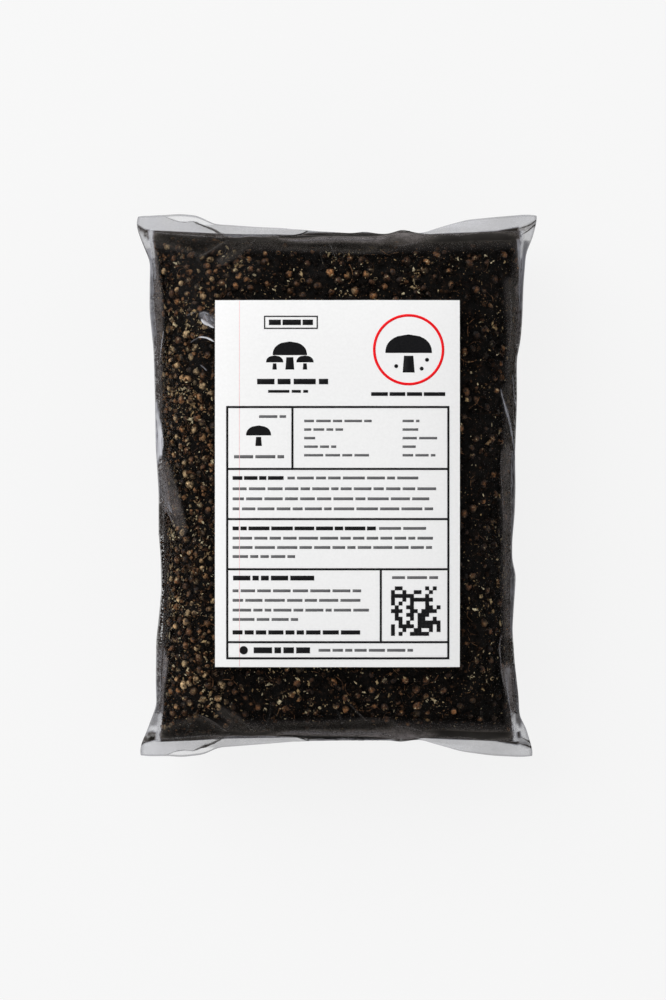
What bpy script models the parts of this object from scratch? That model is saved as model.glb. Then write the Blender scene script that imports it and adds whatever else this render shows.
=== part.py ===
"""A sealed clear film bag of mushroom substrate, lying on its back on a flat surface.

Metres, +Z up. X runs across the bag, Y along it, and Z through its thickness.
The origin is on the surface that the bag lies on, under the middle of the bag.
"""

import math
import random

import bmesh
import bpy
from mathutils import Vector

# Filled body of the bag
THICKNESS = 0.060  # surface to the top of the film
FILL_LENGTH = 0.2070  # seal line to seal line along the middle
CORNER_REACH = 0.0020  # how much farther out the seal line runs at the corners
WAIST_WIDTH = 0.1425
WAIST_Y = -0.035  # where the bag is narrowest
TOP_FLARE = 0.0060  # growth of the half width from the waist to the top seal
BOTTOM_FLARE = 0.0030  # and to the bottom seal
SEAM_HEIGHT = 0.026  # the level at which the front film meets the back film
SOLE_PRESS = 0.0035  # how far below the surface the back would hang if nothing flattened it

# Film
FILM = 0.00035
GAP = 0.0003  # between pieces that touch
CREASE_LIP = 0.0022  # pressed fold along each side of the lay-flat tube

# Welded fins and their free corners
FIN_WIDTH = 0.0069
FIN_DROOP_FOLDED = math.radians(75)
FIN_DROOP_CORNER = math.radians(12)
FOLD_MIDDLE = 0.12  # where the fin folds down most, as a share of the half width
FOLD_NEAR = 0.15  # distance from there, in such shares, where it starts to lift
FOLD_FAR = 0.85  # and where it is level
EAR_SPREAD = 0.0060  # how far a free corner stands out sideways
EAR_LENGTH = 0.018  # along the side
EAR_TIP_REACH = 0.0006
FIN_WAVE = 0.0010  # height of the ripples along a fin's free edge
FIN_WAVES = 5

# Section shapes, as superellipse powers: 2 is round, more is boxier
FRONT_POWERS = (3.7, 4.2)  # across and along
BACK_POWERS = (3.6, 4.2)
FILL_POWERS = (3.2, 3.7)

# Soft folds that run into the body from each seal, where the flat tube is drawn in
GATHERS = 5  # folds across the width
GATHER_DEPTH = 0.0013
GATHER_CREST = 0.010  # distance from the seal where they stand highest
GATHER_END = 0.032  # and where they have smoothed out

# Substrate
SIDE_SLACK = 0.0010  # room that it leaves in each side fold
END_SLACK = 0.0006  # and along each weld
LUMP_DEPTH = 0.0012  # hollows between the grains
GRAIN_SHARE = 0.45  # share of the surface points that a grain holds out to the film
LUMP_SEED = 7

# Label
LABEL_WIDTH = 0.100
LABEL_LENGTH = 0.150
LABEL_SHIFT = (0.0002, 0.0010)
LABEL_THICKNESS = 0.00025

# Cells of the grids that the shapes are drawn on
FILM_CELLS = (22, 28)
BACK_CELLS = (20, 26)
RIM_CELLS = 2
FILL_CELLS = (26, 34)
LABEL_CELL = 0.0068  # largest side of a cell, small enough to follow the film's curve

SOLE_DEPTH = SEAM_HEIGHT + SOLE_PRESS
FLANGE_TOP = SEAM_HEIGHT + FILM
FRONT_FOOT = FLANGE_TOP + GAP
FRONT_RISE = THICKNESS - FRONT_FOOT


def clear_objects():
    for thing in list(bpy.data.objects):
        bpy.data.objects.remove(thing)


def material(name, colour, roughness, metallic=0.0, alpha=1.0):
    made = bpy.data.materials.new(name)
    made.use_nodes = True
    shader = made.node_tree.nodes["Principled BSDF"]
    shader.inputs["Base Color"].default_value = (*colour, 1.0)
    shader.inputs["Roughness"].default_value = roughness
    shader.inputs["Metallic"].default_value = metallic
    shader.inputs["Alpha"].default_value = alpha
    made.diffuse_color = (*colour, alpha)
    return made


def smooth_step(value, start, end):
    share = min(1.0, max(0.0, (value - start) / (end - start)))
    return share * share * (3.0 - 2.0 * share)


# The plan of the bag


def half_length(p):
    """Distance from the middle of the bag to the seal line, at share p of the half width."""
    return FILL_LENGTH / 2 + CORNER_REACH * p * p


def half_width(y):
    """Distance from the middle of the bag to its side at y: a waist, with a flare to each end."""
    flare, end = (TOP_FLARE, half_length(1)) if y > WAIST_Y else (BOTTOM_FLARE, -half_length(1))
    return WAIST_WIDTH / 2 + flare * ((y - WAIST_Y) / (end - WAIST_Y)) ** 2


def plan_point(p, q, side_inset, end_inset):
    """Place of the shares p and q, each -1 to 1, in the outline drawn in by the insets."""
    y = q * (half_length(p) - end_inset)
    return p * (half_width(y) - side_inset), y


# The sections of the bag


def rise(p, q, powers):
    """Height share of a pillow: 1 in the middle and 0 along the outline."""
    across = max(0.0, 1.0 - abs(p) ** powers[0]) ** (1.0 / powers[0])
    along = max(0.0, 1.0 - abs(q) ** powers[1]) ** (1.0 / powers[1])
    return across * along


def even_shares(width, height, power, cells):
    """Shares from -1 to 1 that cut a superellipse arc of that size into equal lengths."""
    fine = 60 * cells
    points = []
    for i in range(fine + 1):
        turn = math.pi * i / fine
        share = -math.copysign(abs(math.cos(turn)) ** (2.0 / power), math.cos(turn))
        points.append((share, abs(math.sin(turn)) ** (2.0 / power)))
    walked = [0.0]
    for (p0, r0), (p1, r1) in zip(points, points[1:]):
        walked.append(walked[-1] + math.hypot((p1 - p0) * width / 2, (r1 - r0) * height))
    shares = []
    at = 0
    for k in range(cells + 1):
        goal = walked[-1] * k / cells
        while at < fine - 1 and walked[at + 1] < goal:
            at += 1
        part = (goal - walked[at]) / (walked[at + 1] - walked[at])
        shares.append(points[at][0] + part * (points[at + 1][0] - points[at][0]))
    shares[0], shares[-1] = -1.0, 1.0
    return shares


def shares_for(cells, powers):
    height = THICKNESS / 2
    return (
        even_shares(WAIST_WIDTH, height, powers[0], cells[0]),
        even_shares(FILL_LENGTH, height, powers[1], cells[1]),
    )


def gather(p, q):
    """How far the soft folds behind the seals stand out from the pillow."""
    from_seal = (1.0 - abs(q)) * half_length(p)
    rising = smooth_step(from_seal, 0.0, GATHER_CREST)
    fading = 1.0 - smooth_step(from_seal, GATHER_CREST, GATHER_END)
    wave = 0.5 + 0.5 * math.cos(math.pi * GATHERS * p)
    return GATHER_DEPTH * rising * fading * wave * (1.0 - p * p)


def front_point(p, q, inset=0.0):
    """Front film: its outer face, or with inset FILM its inner face."""
    x, y = plan_point(p, q, inset, inset)
    lift = (FRONT_RISE - inset) * rise(p, q, FRONT_POWERS) + gather(p, q)
    return Vector((x, y, FRONT_FOOT + lift))


def back_point(p, q, inset=0.0):
    """Back film without its fins: the surface flattens it where it would hang lower."""
    x, y = plan_point(p, q, inset, inset)
    drop = SOLE_DEPTH * rise(p, q, BACK_POWERS) + gather(p, q)
    return Vector((x, y, max(inset, SEAM_HEIGHT + inset - drop)))


def fin_droop(p):
    """Angle of the fin below level: steep where it is folded down, and nearly flat at the corners."""
    lifted = smooth_step(abs(p - FOLD_MIDDLE), FOLD_NEAR, FOLD_FAR)
    return FIN_DROOP_FOLDED + (FIN_DROOP_CORNER - FIN_DROOP_FOLDED) * lifted


def flange_point(p, q, side, end, inset=0.0):
    """Back film with its rim: side and end are the shares, 0 to 1, of the way out over the rim."""
    point = back_point(p, q, inset * (1 - max(side, end)))
    ear = smooth_step(abs(point.y), half_length(1) - EAR_LENGTH, half_length(1))
    point.x += math.copysign(side * (CREASE_LIP + (EAR_SPREAD - CREASE_LIP) * ear), p)
    if not (side or end):
        return point
    droop = fin_droop(p) * (1 if end else 0)
    ripple = FIN_WAVE * math.sin(FIN_WAVES * math.pi * p) * abs(p)
    reach = FIN_WIDTH * math.cos(droop) + EAR_TIP_REACH * side
    point.y += math.copysign(end * reach, q)
    point.z = SEAM_HEIGHT - end * FIN_WIDTH * math.sin(droop) + end * end * ripple
    point.y += math.copysign(inset * math.sin(droop), q)
    point.z += inset * math.cos(droop)
    return point


# Mesh making


def grid(bm, cells, place):
    """A grid of cells, with each of its corners moved to place(column, row)."""
    made = bmesh.ops.create_grid(bm, x_segments=cells[0], y_segments=cells[1], size=1.0)
    for vertex in made["verts"]:
        column = round((vertex.co.x + 1) / 2 * cells[0])
        row = round((vertex.co.y + 1) / 2 * cells[1])
        vertex.co = place(column, row)
    return made["verts"]


def face_out(bm):
    """Turns every face outwards. A thin shell can come out of the recalculation inside out."""
    bmesh.ops.recalc_face_normals(bm, faces=bm.faces)
    if bm.calc_volume(signed=True) < 0:
        bmesh.ops.reverse_faces(bm, faces=bm.faces)
    bm.normal_update()


def object_from(bm, name, finish):
    face_out(bm)
    mesh = bpy.data.meshes.new(name)
    bm.to_mesh(mesh)
    bm.free()
    mesh.shade_smooth()
    mesh.set_sharp_from_angle(angle=math.radians(40))
    mesh.materials.append(finish)
    made = bpy.data.objects.new(name, mesh)
    bpy.context.scene.collection.objects.link(made)
    return made


def sheet(name, cells, outer, inner, finish):
    """A closed thin sheet between two faces that are given as functions of column and row."""
    bm = bmesh.new()
    outside = grid(bm, cells, outer)
    inside = grid(bm, cells, inner)
    twin = dict(zip(outside, inside))
    rim = [edge.verts[:] for edge in bm.edges if edge.is_boundary and edge.verts[0] in twin]
    for start, end in rim:
        bm.faces.new((start, end, twin[end], twin[start]))
    return object_from(bm, name, finish)


# The pieces


def front_film(finish):
    across, along = shares_for(FILM_CELLS, FRONT_POWERS)
    return sheet(
        "bag_film_front",
        FILM_CELLS,
        lambda i, j: front_point(across[i], along[j]),
        lambda i, j: front_point(across[i], along[j], FILM),
        finish,
    )


def back_film(finish):
    across, along = shares_for(BACK_CELLS, BACK_POWERS)

    def on_rim(index, shares):
        """Share of the body and share of the way out over the rim, for one grid line."""
        inner = min(max(index - RIM_CELLS, 0), len(shares) - 1)
        return shares[inner], abs(index - RIM_CELLS - inner) / RIM_CELLS

    def place(i, j, inset):
        p, side = on_rim(i, across)
        q, end = on_rim(j, along)
        return flange_point(p, q, side, end, inset)

    return sheet(
        "bag_film_back",
        (BACK_CELLS[0] + 2 * RIM_CELLS, BACK_CELLS[1] + 2 * RIM_CELLS),
        lambda i, j: place(i, j, 0.0),
        lambda i, j: place(i, j, FILM),
        finish,
    )


def substrate(finish):
    """The block of coir and grain, with hollows between the grains that press on the film."""
    across, along = shares_for(FILL_CELLS, FILL_POWERS)
    base = FILM + GAP
    top = THICKNESS - base

    def place(i, j, height):
        x, y = plan_point(across[i], along[j], base + SIDE_SLACK, base + END_SLACK)
        return Vector((x, y, FLANGE_TOP + height * rise(across[i], along[j], FILL_POWERS)))

    def upper(i, j):
        return place(i, j, top - FLANGE_TOP)

    def lower(i, j):
        point = place(i, j, GAP - SOLE_DEPTH)
        point.z = max(base, point.z)
        return point

    bm = bmesh.new()
    grid(bm, FILL_CELLS, upper)
    grid(bm, FILL_CELLS, lower)
    rim = [vertex for vertex in bm.verts if vertex.is_boundary]
    bmesh.ops.remove_doubles(bm, verts=rim, dist=GAP / 10)
    face_out(bm)
    chance = random.Random(LUMP_SEED)
    moves = []
    for vertex in bm.verts:
        held_out = chance.random() < GRAIN_SHARE
        depth = 0.0 if held_out else LUMP_DEPTH * chance.uniform(0.5, 1.0)
        on_rim = abs(vertex.co.z - FLANGE_TOP) < GAP
        moves.append((vertex, Vector() if on_rim else -depth * vertex.normal))
    for vertex, move in moves:
        vertex.co += move
    return object_from(bm, "substrate", finish)


def film_height(x, y):
    """Height of the front film's outer face over a point of the plan."""
    p = x / half_width(y)
    return front_point(p, y / half_length(p)).z


def film_normal(x, y):
    step = FILM
    slope_x = (film_height(x + step, y) - film_height(x - step, y)) / (2 * step)
    slope_y = (film_height(x, y + step) - film_height(x, y - step)) / (2 * step)
    return Vector((-slope_x, -slope_y, 1.0)).normalized()


def label(finish):
    """A sticker that follows the front of the bag."""
    cells = (math.ceil(LABEL_WIDTH / LABEL_CELL), math.ceil(LABEL_LENGTH / LABEL_CELL))

    def place(i, j, lift):
        x = LABEL_SHIFT[0] + LABEL_WIDTH * (i / cells[0] - 0.5)
        y = LABEL_SHIFT[1] + LABEL_LENGTH * (j / cells[1] - 0.5)
        return Vector((x, y, film_height(x, y))) + (GAP + lift) * film_normal(x, y)

    return sheet(
        "label",
        cells,
        lambda i, j: place(i, j, LABEL_THICKNESS),
        lambda i, j: place(i, j, 0.0),
        finish,
    )


def main():
    clear_objects()
    film = material("clear film", (0.72, 0.73, 0.75), 0.18, alpha=0.35)
    front_film(film)
    back_film(film)
    substrate(material("coir and grain", (0.045, 0.028, 0.018), 0.85))
    label(material("white paper", (0.93, 0.93, 0.93), 0.45))


main()
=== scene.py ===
"""The looks of a sealed clear film bag of mushroom substrate with a printed label.

Lengths are in metres, and in mm in the tables of points on the bag's front and on the label.
"""

import math

import bmesh
import bpy
import numpy as np
from mathutils import Matrix, Vector
from mathutils.bvhtree import BVHTree


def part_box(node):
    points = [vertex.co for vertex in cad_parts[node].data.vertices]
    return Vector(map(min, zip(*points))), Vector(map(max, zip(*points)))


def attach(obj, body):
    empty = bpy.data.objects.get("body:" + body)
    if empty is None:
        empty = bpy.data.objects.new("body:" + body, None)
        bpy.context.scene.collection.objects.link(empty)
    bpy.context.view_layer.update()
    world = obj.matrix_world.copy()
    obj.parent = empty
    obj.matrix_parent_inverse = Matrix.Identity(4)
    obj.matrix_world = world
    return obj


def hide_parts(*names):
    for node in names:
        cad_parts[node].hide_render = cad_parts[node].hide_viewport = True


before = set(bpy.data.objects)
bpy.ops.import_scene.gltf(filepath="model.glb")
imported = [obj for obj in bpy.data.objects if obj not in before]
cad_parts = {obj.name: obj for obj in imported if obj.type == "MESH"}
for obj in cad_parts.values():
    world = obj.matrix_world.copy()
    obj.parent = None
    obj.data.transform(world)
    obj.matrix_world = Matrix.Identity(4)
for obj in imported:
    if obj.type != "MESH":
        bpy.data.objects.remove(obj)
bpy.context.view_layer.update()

# The block of coir
# Moist coconut coir, soaked and pressed into the bag until it is as firm as a brick. It takes the
# bag's own form from inside, a pillow with a waist and a flattened back. Its surface is crumbly
# and nearly black, with hollows between the grains that press on the film.

film_low, film_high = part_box("bag_film_front")
thickness = film_high.z
film_wall, piece_gap = 0.00035, 0.0003
seam_height = film_low.z - film_wall - piece_gap
seal_reach = 0.1035  # from the middle of the bag to a seal line
corner_reach = 0.0020
half_waist = 0.07125
waist_y = -0.035
top_flare, bottom_flare = 0.0060, 0.0030
sole_press = 0.0035
fill_powers = (3.2, 3.7)  # how square the block is across and along
side_slack, end_slack = 0.0004, 0.0003
coir_cells = (150, 206)
hollow_depth = 0.0019
deepest_hollow = 1.3  # share of hollow_depth


def half_length(p):
    return seal_reach + corner_reach * p * p


def half_width(y):
    end = half_length(1.0)
    to_top = top_flare * ((y - waist_y) / (end - waist_y)) ** 2
    to_bottom = bottom_flare * ((waist_y - y) / (waist_y + end)) ** 2
    return half_waist + np.where(y > waist_y, to_top, to_bottom)


def plan_point(p, q, side_inset=0.0, end_inset=0.0):
    """Place of the shares p and q, each -1 to 1, in the bag's outline drawn in by the insets."""
    y = q * (half_length(p) - end_inset)
    return p * (half_width(y) - side_inset), y


def rise(p, q, powers):
    """Height share of a pillow: 1 in the middle and 0 along its outline."""
    across = np.maximum(0.0, 1.0 - np.abs(p) ** powers[0]) ** (1.0 / powers[0])
    along = np.maximum(0.0, 1.0 - np.abs(q) ** powers[1]) ** (1.0 / powers[1])
    return across * along


def arc_shares(width, power, cells, crowding=0.0):
    """Shares from -1 to 1 that cut a superellipse arc into even lengths, or crowd towards its ends."""
    turn = np.linspace(0.0, math.pi, 60 * cells + 1)
    share = -np.sign(np.cos(turn)) * np.abs(np.cos(turn)) ** (2.0 / power)
    high = np.abs(np.sin(turn)) ** (2.0 / power)
    steps = np.hypot(np.diff(share) * width / 2, np.diff(high) * thickness / 2)
    walked = np.concatenate([[0.0], np.cumsum(steps)])
    even = np.linspace(0.0, 1.0, cells + 1)
    crowded = even - crowding * np.sin(2 * math.pi * even) / (2 * math.pi)
    shares = np.interp(crowded * walked[-1], walked, share)
    shares[0], shares[-1] = -1.0, 1.0
    return shares


def soft_noise(points, size, seed):
    """Smooth random values from -1 to 1 that change over about that size."""
    lattice = np.random.default_rng(seed).uniform(-1.0, 1.0, (32, 32, 32))
    place = np.asarray(points) / size
    low = np.floor(place).astype(int)
    part = place - low
    part = part * part * (3.0 - 2.0 * part)
    total = np.zeros(len(place))
    for corner in np.ndindex(2, 2, 2):
        index = (low + corner) % 32
        share = np.prod(np.where(corner, part, 1.0 - part), axis=1)
        total += share * lattice[index[:, 0], index[:, 1], index[:, 2]]
    return total


def read_vectors(source, name):
    values = np.empty(len(source) * 3, np.float32)
    source.foreach_get(name, values)
    return values.reshape(-1, 3).astype(float)


def write_places(mesh, places):
    mesh.vertices.foreach_set("co", np.ascontiguousarray(places, np.float32).ravel())
    mesh.update()


def mesh_of(bm, name):
    mesh = bpy.data.meshes.new(name)
    bm.to_mesh(mesh)
    bm.free()
    return mesh


def double_grid(cells, share_edge):
    """Two grids, one over the other and closed along their edges, as a mesh.
    A vertex's x and y are its column and row, and z is 1 on the upper grid and 0 on the lower.
    The grids have one edge in common, or a strip of faces between their edges."""
    bm = bmesh.new()
    layers = []
    for level in (1.0, 0.0):
        made = bmesh.ops.create_grid(bm, x_segments=cells[0], y_segments=cells[1], size=1.0)
        for vertex in made["verts"]:
            column = round((vertex.co.x + 1.0) / 2.0 * cells[0])
            row = round((vertex.co.y + 1.0) / 2.0 * cells[1])
            vertex.co = (column, row, level)
        layers.append(made["verts"])
    upper, lower = layers
    bmesh.ops.reverse_faces(bm, faces=[f for f in bm.faces if f.verts[0].co.z < 0.5])
    twin = dict(zip(upper, lower))
    rim = [edge.verts[:] for edge in bm.edges if edge.is_boundary and edge.verts[0] in twin]
    if share_edge:
        bmesh.ops.weld_verts(bm, targetmap={twin[v]: v for pair in rim for v in pair})
    else:
        for start, end in rim:
            bm.faces.new((start, end, twin[end], twin[start]))
        bmesh.ops.recalc_face_normals(bm, faces=bm.faces)
    return mesh_of(bm, "grids")


def piece_from(mesh, name, finish, smooth=True):
    mesh.name = name
    if smooth:
        mesh.shade_smooth()
    mesh.materials.append(finish)
    piece = bpy.data.objects.new(name, mesh)
    bpy.context.scene.collection.objects.link(piece)
    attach(piece, "root")
    return piece


def new_finish(name, roughness, specular):
    made = bpy.data.materials.new(name)
    made.use_nodes = True
    shader = made.node_tree.nodes["Principled BSDF"]
    shader.inputs["Roughness"].default_value = roughness
    shader.inputs["Specular IOR Level"].default_value = specular
    return made, made.node_tree, shader


def feed(tree, socket, value):
    """Links an input to an output, or sets it to a value."""
    if isinstance(value, bpy.types.NodeSocket):
        tree.links.new(value, socket)
    else:
        socket.default_value = value


def add_node(tree, kind, settings=None, **sockets):
    """A node with its settings, and its inputs set to values or linked to outputs."""
    node = tree.nodes.new("ShaderNode" + kind)
    for name, value in (settings or {}).items():
        setattr(node, name, value)
    for name, value in sockets.items():
        feed(tree, node.inputs[name.replace("_", " ")], value)
    return node


def own_noise(tree, scale, detail, roughness=0.5, distortion=0.0):
    """Noise in the piece's own space."""
    place = add_node(tree, "TexCoord").outputs["Object"]
    return add_node(tree, "TexNoise", Vector=place, Scale=scale, Detail=detail, Roughness=roughness,
                    Distortion=distortion).outputs["Fac"]


def calculate(tree, operation, first, second, use_clamp=False):
    node = add_node(tree, "Math", {"operation": operation, "use_clamp": use_clamp})
    feed(tree, node.inputs[0], first)
    feed(tree, node.inputs[1], second)
    return node.outputs[0]


def mix(tree, share, first, second, data_type="RGBA", blend_type="MIX"):
    """The first colour or number, mixed with the second by the share."""
    node = add_node(tree, "Mix", {"data_type": data_type, "blend_type": blend_type}, Factor=share)
    start, result = {"FLOAT": (2, 0), "RGBA": (6, 2)}[data_type]
    feed(tree, node.inputs[start], first)
    feed(tree, node.inputs[start + 1], second)
    return node.outputs[result]


def add_bump(tree, shader, height, strength, distance):
    bump = add_node(tree, "Bump", Height=height, Strength=strength, Distance=distance)
    tree.links.new(bump.outputs["Normal"], shader.inputs["Normal"])


def add_ramp(tree, share, stops):
    """A colour ramp through stops of (position, colour)."""
    ramp = add_node(tree, "ValToRGB", Fac=share)
    elements = ramp.color_ramp.elements
    while len(elements) < len(stops):
        elements.new(0.5)
    for element, (position, colour) in zip(elements, stops):
        element.position = position
        element.color = (*colour, 1.0)
    return ramp.outputs["Color"]


def coir_finish():
    """Nearly black, with damp brown clumps and pin-point specks."""
    made, tree, shader = new_finish("moist coir", 0.7, 0.08)
    clumps = own_noise(tree, 420.0, 6.0, 0.72)
    base = add_ramp(tree, clumps, [
        (0.42, (0.0004, 0.0003, 0.0002)),
        (0.56, (0.0030, 0.0019, 0.0012)),
        (0.70, (0.026, 0.014, 0.008)),
    ])
    place = add_node(tree, "TexCoord").outputs["Object"]
    specks = add_node(tree, "TexVoronoi", Vector=place, Scale=1250.0)
    chance = add_node(tree, "SeparateColor", Color=specks.outputs["Color"])
    picked = calculate(tree, "GREATER_THAN", chance.outputs["Red"], 0.95)
    near = calculate(tree, "LESS_THAN", specks.outputs["Distance"], 0.33)
    speck_colour = add_ramp(tree, chance.outputs["Green"], [
        (0.0, (0.06, 0.032, 0.017)),
        (0.75, (0.16, 0.09, 0.045)),
        (1.0, (0.40, 0.30, 0.18)),
    ])
    colour = mix(tree, calculate(tree, "MULTIPLY", picked, near), base, speck_colour)
    tree.links.new(colour, shader.inputs["Base Color"])
    add_bump(tree, shader, clumps, 0.9, 0.0012)
    return made


def fill_places(p, q, upper):
    """The block's smooth envelope, which lies a little inside the film."""
    inset = film_wall + piece_gap
    x, y = plan_point(p, q, inset + side_slack, inset + end_slack)
    middle = seam_height + film_wall
    share = rise(p, q, fill_powers)
    top = middle + (thickness - inset - middle) * share
    bottom = np.maximum(inset, middle + (piece_gap - seam_height - sole_press) * share)
    return np.stack([x, y, np.where(upper, top, bottom)], axis=1)


coir_mesh = double_grid(coir_cells, share_edge=True)
grid_places = read_vectors(coir_mesh.vertices, "co")
coir_across = arc_shares(2 * half_waist, fill_powers[0], coir_cells[0])
coir_along = arc_shares(2 * seal_reach, fill_powers[1], coir_cells[1])
envelope = fill_places(
    coir_across[grid_places[:, 0].astype(int)],
    coir_along[grid_places[:, 1].astype(int)],
    grid_places[:, 2] > 0.5,
)
write_places(coir_mesh, envelope)
envelope_normals = read_vectors(coir_mesh.vertex_normals, "vector")
coir_mesh.calc_loop_triangles()
envelope_corners = np.array([t.vertices[:] for t in coir_mesh.loop_triangles])
hollows = 0.55 + 0.30 * soft_noise(envelope, 0.0062, 11) + 0.30 * soft_noise(envelope, 0.0024, 12)
hollows += 0.22 * soft_noise(envelope, 0.0011, 13)
hollows = hollow_depth * np.clip(hollows, 0.0, deepest_hollow)
write_places(coir_mesh, envelope - envelope_normals * hollows[:, None])
coir = piece_from(coir_mesh, "coir_block", coir_finish())
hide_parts("substrate")

# The grains
# Cooked sorghum, plump and brown with a paler spot where each grain sat on its ear. They were
# mixed into the coir by hand, so they lie thickly in some places and thinly in others, and the
# ones at the surface are pressed against the film.

grain_count = 2050
grain_radius = (0.00150, 0.00250)
grain_spacing = 0.0030
proud_most = 0.00045  # how far anything stands out of the block's smooth envelope
front_foot = seam_height + 0.012  # where the walls end and the front begins
label_half = (0.050, 0.075)
label_shift = (0.0002, 0.0010)


def under_label(places, margin):
    """True where the label hides the front, less a margin along its edges."""
    inside_x = np.abs(places[:, 0] - label_shift[0]) < label_half[0] - margin
    inside_y = np.abs(places[:, 1] - label_shift[1]) < label_half[1] - margin
    return inside_x & inside_y & (places[:, 2] > seam_height)


def spots_on_block(count, chance, seed, margin=0.004):
    """Random points of the block's envelope and their normals, as likely as chance(places) says."""
    dice = np.random.default_rng(seed)
    corners = envelope[envelope_corners]
    areas = np.linalg.norm(np.cross(corners[:, 1] - corners[:, 0], corners[:, 2] - corners[:, 0]), axis=1)
    centres = corners.mean(axis=1)
    weights = areas * chance(centres) * ~under_label(centres, margin)
    picked = dice.choice(len(weights), count, p=weights / weights.sum())
    shares = dice.dirichlet((1.0, 1.0, 1.0), count)
    spots = np.einsum("nk,nkd->nd", shares, corners[picked])
    normals = np.einsum("nk,nkd->nd", shares, envelope_normals[envelope_corners[picked]])
    return spots, normals / np.linalg.norm(normals, axis=1)[:, None]


def spread_apart(spots, distance, count):
    """Indices of up to count spots, none closer than distance to another."""
    kept = []
    taken = np.empty((count, 3))
    for index, spot in enumerate(spots):
        if len(kept) == count:
            break
        if not kept or np.min(np.sum((taken[: len(kept)] - spot) ** 2, axis=1)) > distance**2:
            taken[len(kept)] = spot
            kept.append(index)
    return kept


def random_turns(count, dice):
    """Random rotation matrices."""
    w, x, y, z = dice.normal(size=(count, 4)).T
    size = np.sqrt(w * w + x * x + y * y + z * z)
    w, x, y, z = w / size, x / size, y / size, z / size
    rows = [
        [1 - 2 * (y * y + z * z), 2 * (x * y - w * z), 2 * (x * z + w * y)],
        [2 * (x * y + w * z), 1 - 2 * (x * x + z * z), 2 * (y * z - w * x)],
        [2 * (x * z - w * y), 2 * (y * z + w * x), 1 - 2 * (x * x + y * y)],
    ]
    return np.array(rows).transpose(2, 0, 1)


def template(make, shape, variants, seed):
    """Copies of one small form, each with its vertices moved by shape(places, dice), and its faces."""
    bm = bmesh.new()
    make(bm)
    bmesh.ops.triangulate(bm, faces=bm.faces)
    bm.verts.index_update()
    places = np.array([v.co[:] for v in bm.verts])
    places -= places.mean(axis=0)
    faces = np.array([[v.index for v in f.verts] for f in bm.faces])
    bm.free()
    dice = np.random.default_rng(seed)
    return np.array([shape(places.copy(), dice) for _ in range(variants)]), faces


def write_values(mesh, name, values):
    """A number for each vertex, for a material to read."""
    mesh.attributes.new(name, "FLOAT", "POINT")
    mesh.attributes[name].data.foreach_set("value", np.asarray(values, np.float32))


def strew(name, forms, spots, normals, depths, turns, sizes, tones, finish, smooth=True, eye=None):
    """Joins copies of a form into one piece, each at its depth under a spot of the block's surface."""
    variants, faces = forms
    which = np.arange(len(spots)) % len(variants)
    shapes = variants[which] * sizes[:, None, :]
    offsets = np.einsum("nij,nvj->nvi", turns, shapes) - (normals * depths[:, None])[:, None, :]
    heights = np.einsum("nvi,ni->nv", offsets, normals)
    too_proud = np.maximum(heights - proud_most, 0.0)
    offsets -= too_proud[..., None] * normals[:, None, :]  # flat against the film
    places = offsets + spots[:, None, :]
    each = variants.shape[1]
    all_faces = (faces[None] + (np.arange(len(spots)) * each)[:, None, None]).reshape(-1, 3)
    mesh = bpy.data.meshes.new(name)
    mesh.from_pydata(places.reshape(-1, 3).tolist(), [], all_faces.tolist())
    write_values(mesh, "tone", np.repeat(tones, each))
    write_values(mesh, "depth", 1000.0 * (proud_most - np.minimum(heights, proud_most)).ravel())
    if eye is not None:
        write_values(mesh, "eye", np.tile(eye, len(spots)))
    return piece_from(mesh, name, finish, smooth)


def plump(places, dice):
    """A grain: a slightly flattened ball with a dimple at one end."""
    lumps = 1.0 + 0.14 * soft_noise(places + dice.uniform(0, 20, 3), 0.7, 21)
    dimple = np.exp(-((places[:, 2] - 1.0) / 0.22) ** 2)
    return places * lumps[:, None] * (1.0 - 0.22 * dimple)[:, None]


def value_of(tree, name):
    """The number that write_values gave each vertex under this name."""
    return add_node(tree, "Attribute", {"attribute_name": name}).outputs["Fac"]


def finish_in_coir(name, stops, roughness, specular, mottle_scale, darkest, darkest_depth=1.8, marked=None):
    """Coloured by the tone, mottled, and darker the deeper a point lies under the film, in mm:
    partly coir dust, and partly painted shade where things sink between the grains.
    """
    made, tree, shader = new_finish(name, roughness, specular)
    mottle = own_noise(tree, mottle_scale, 3.0, 0.6)
    shade = add_ramp(tree, mottle, [(0.38, (darkest,) * 3), (0.60, (1.0, 1.0, 1.0))])
    smears = own_noise(tree, 420.0, 5.0, 0.7)
    dust = add_ramp(tree, smears, [(0.40, (0.10, 0.08, 0.07)), (0.54, (1.0, 1.0, 1.0))])
    dusty = mix(tree, 0.85, dust, shade, blend_type="MULTIPLY")
    colour = add_ramp(tree, value_of(tree, "tone"), stops)
    if marked:
        colour = marked(tree, colour)
    mottled = mix(tree, 1.0, colour, dusty, blend_type="MULTIPLY")
    # Painted shade, with coir dust: darker the deeper a point lies below the film.
    dust_and_shade_share = add_node(tree, "MapRange", {"interpolation_type": "SMOOTHSTEP"},
                     Value=value_of(tree, "depth"), From_Min=0.0, From_Max=darkest_depth, To_Min=1.0, To_Max=0.10)
    dusted_and_shaded = add_node(tree, "VectorMath", {"operation": "SCALE"}, Vector=mottled, Scale=dust_and_shade_share.outputs[0])
    tree.links.new(dusted_and_shaded.outputs[0], shader.inputs["Base Color"])
    add_bump(tree, shader, mottle, 0.5, 0.0003)
    return made


def eye_and_splits(tree, skin):
    """A paler eye at one end of a grain, and cream starch where its skin has split."""
    eyed = mix(tree, value_of(tree, "eye"), skin, (0.56, 0.36, 0.17, 1.0))
    split = own_noise(tree, 820.0, 3.0, 0.6)
    shows = add_node(tree, "MapRange", Value=split, From_Min=0.60, From_Max=0.66)
    return mix(tree, shows.outputs[0], eyed, (0.80, 0.60, 0.33, 1.0))


def smooth_step(value, start, end):
    share = np.clip((value - start) / (end - start), 0.0, 1.0)
    return share * share * (3.0 - 2.0 * share)


def fading(value, start, end):
    """1 up to the start and 0 from the end."""
    return 1.0 - smooth_step(value, start, end)


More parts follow.
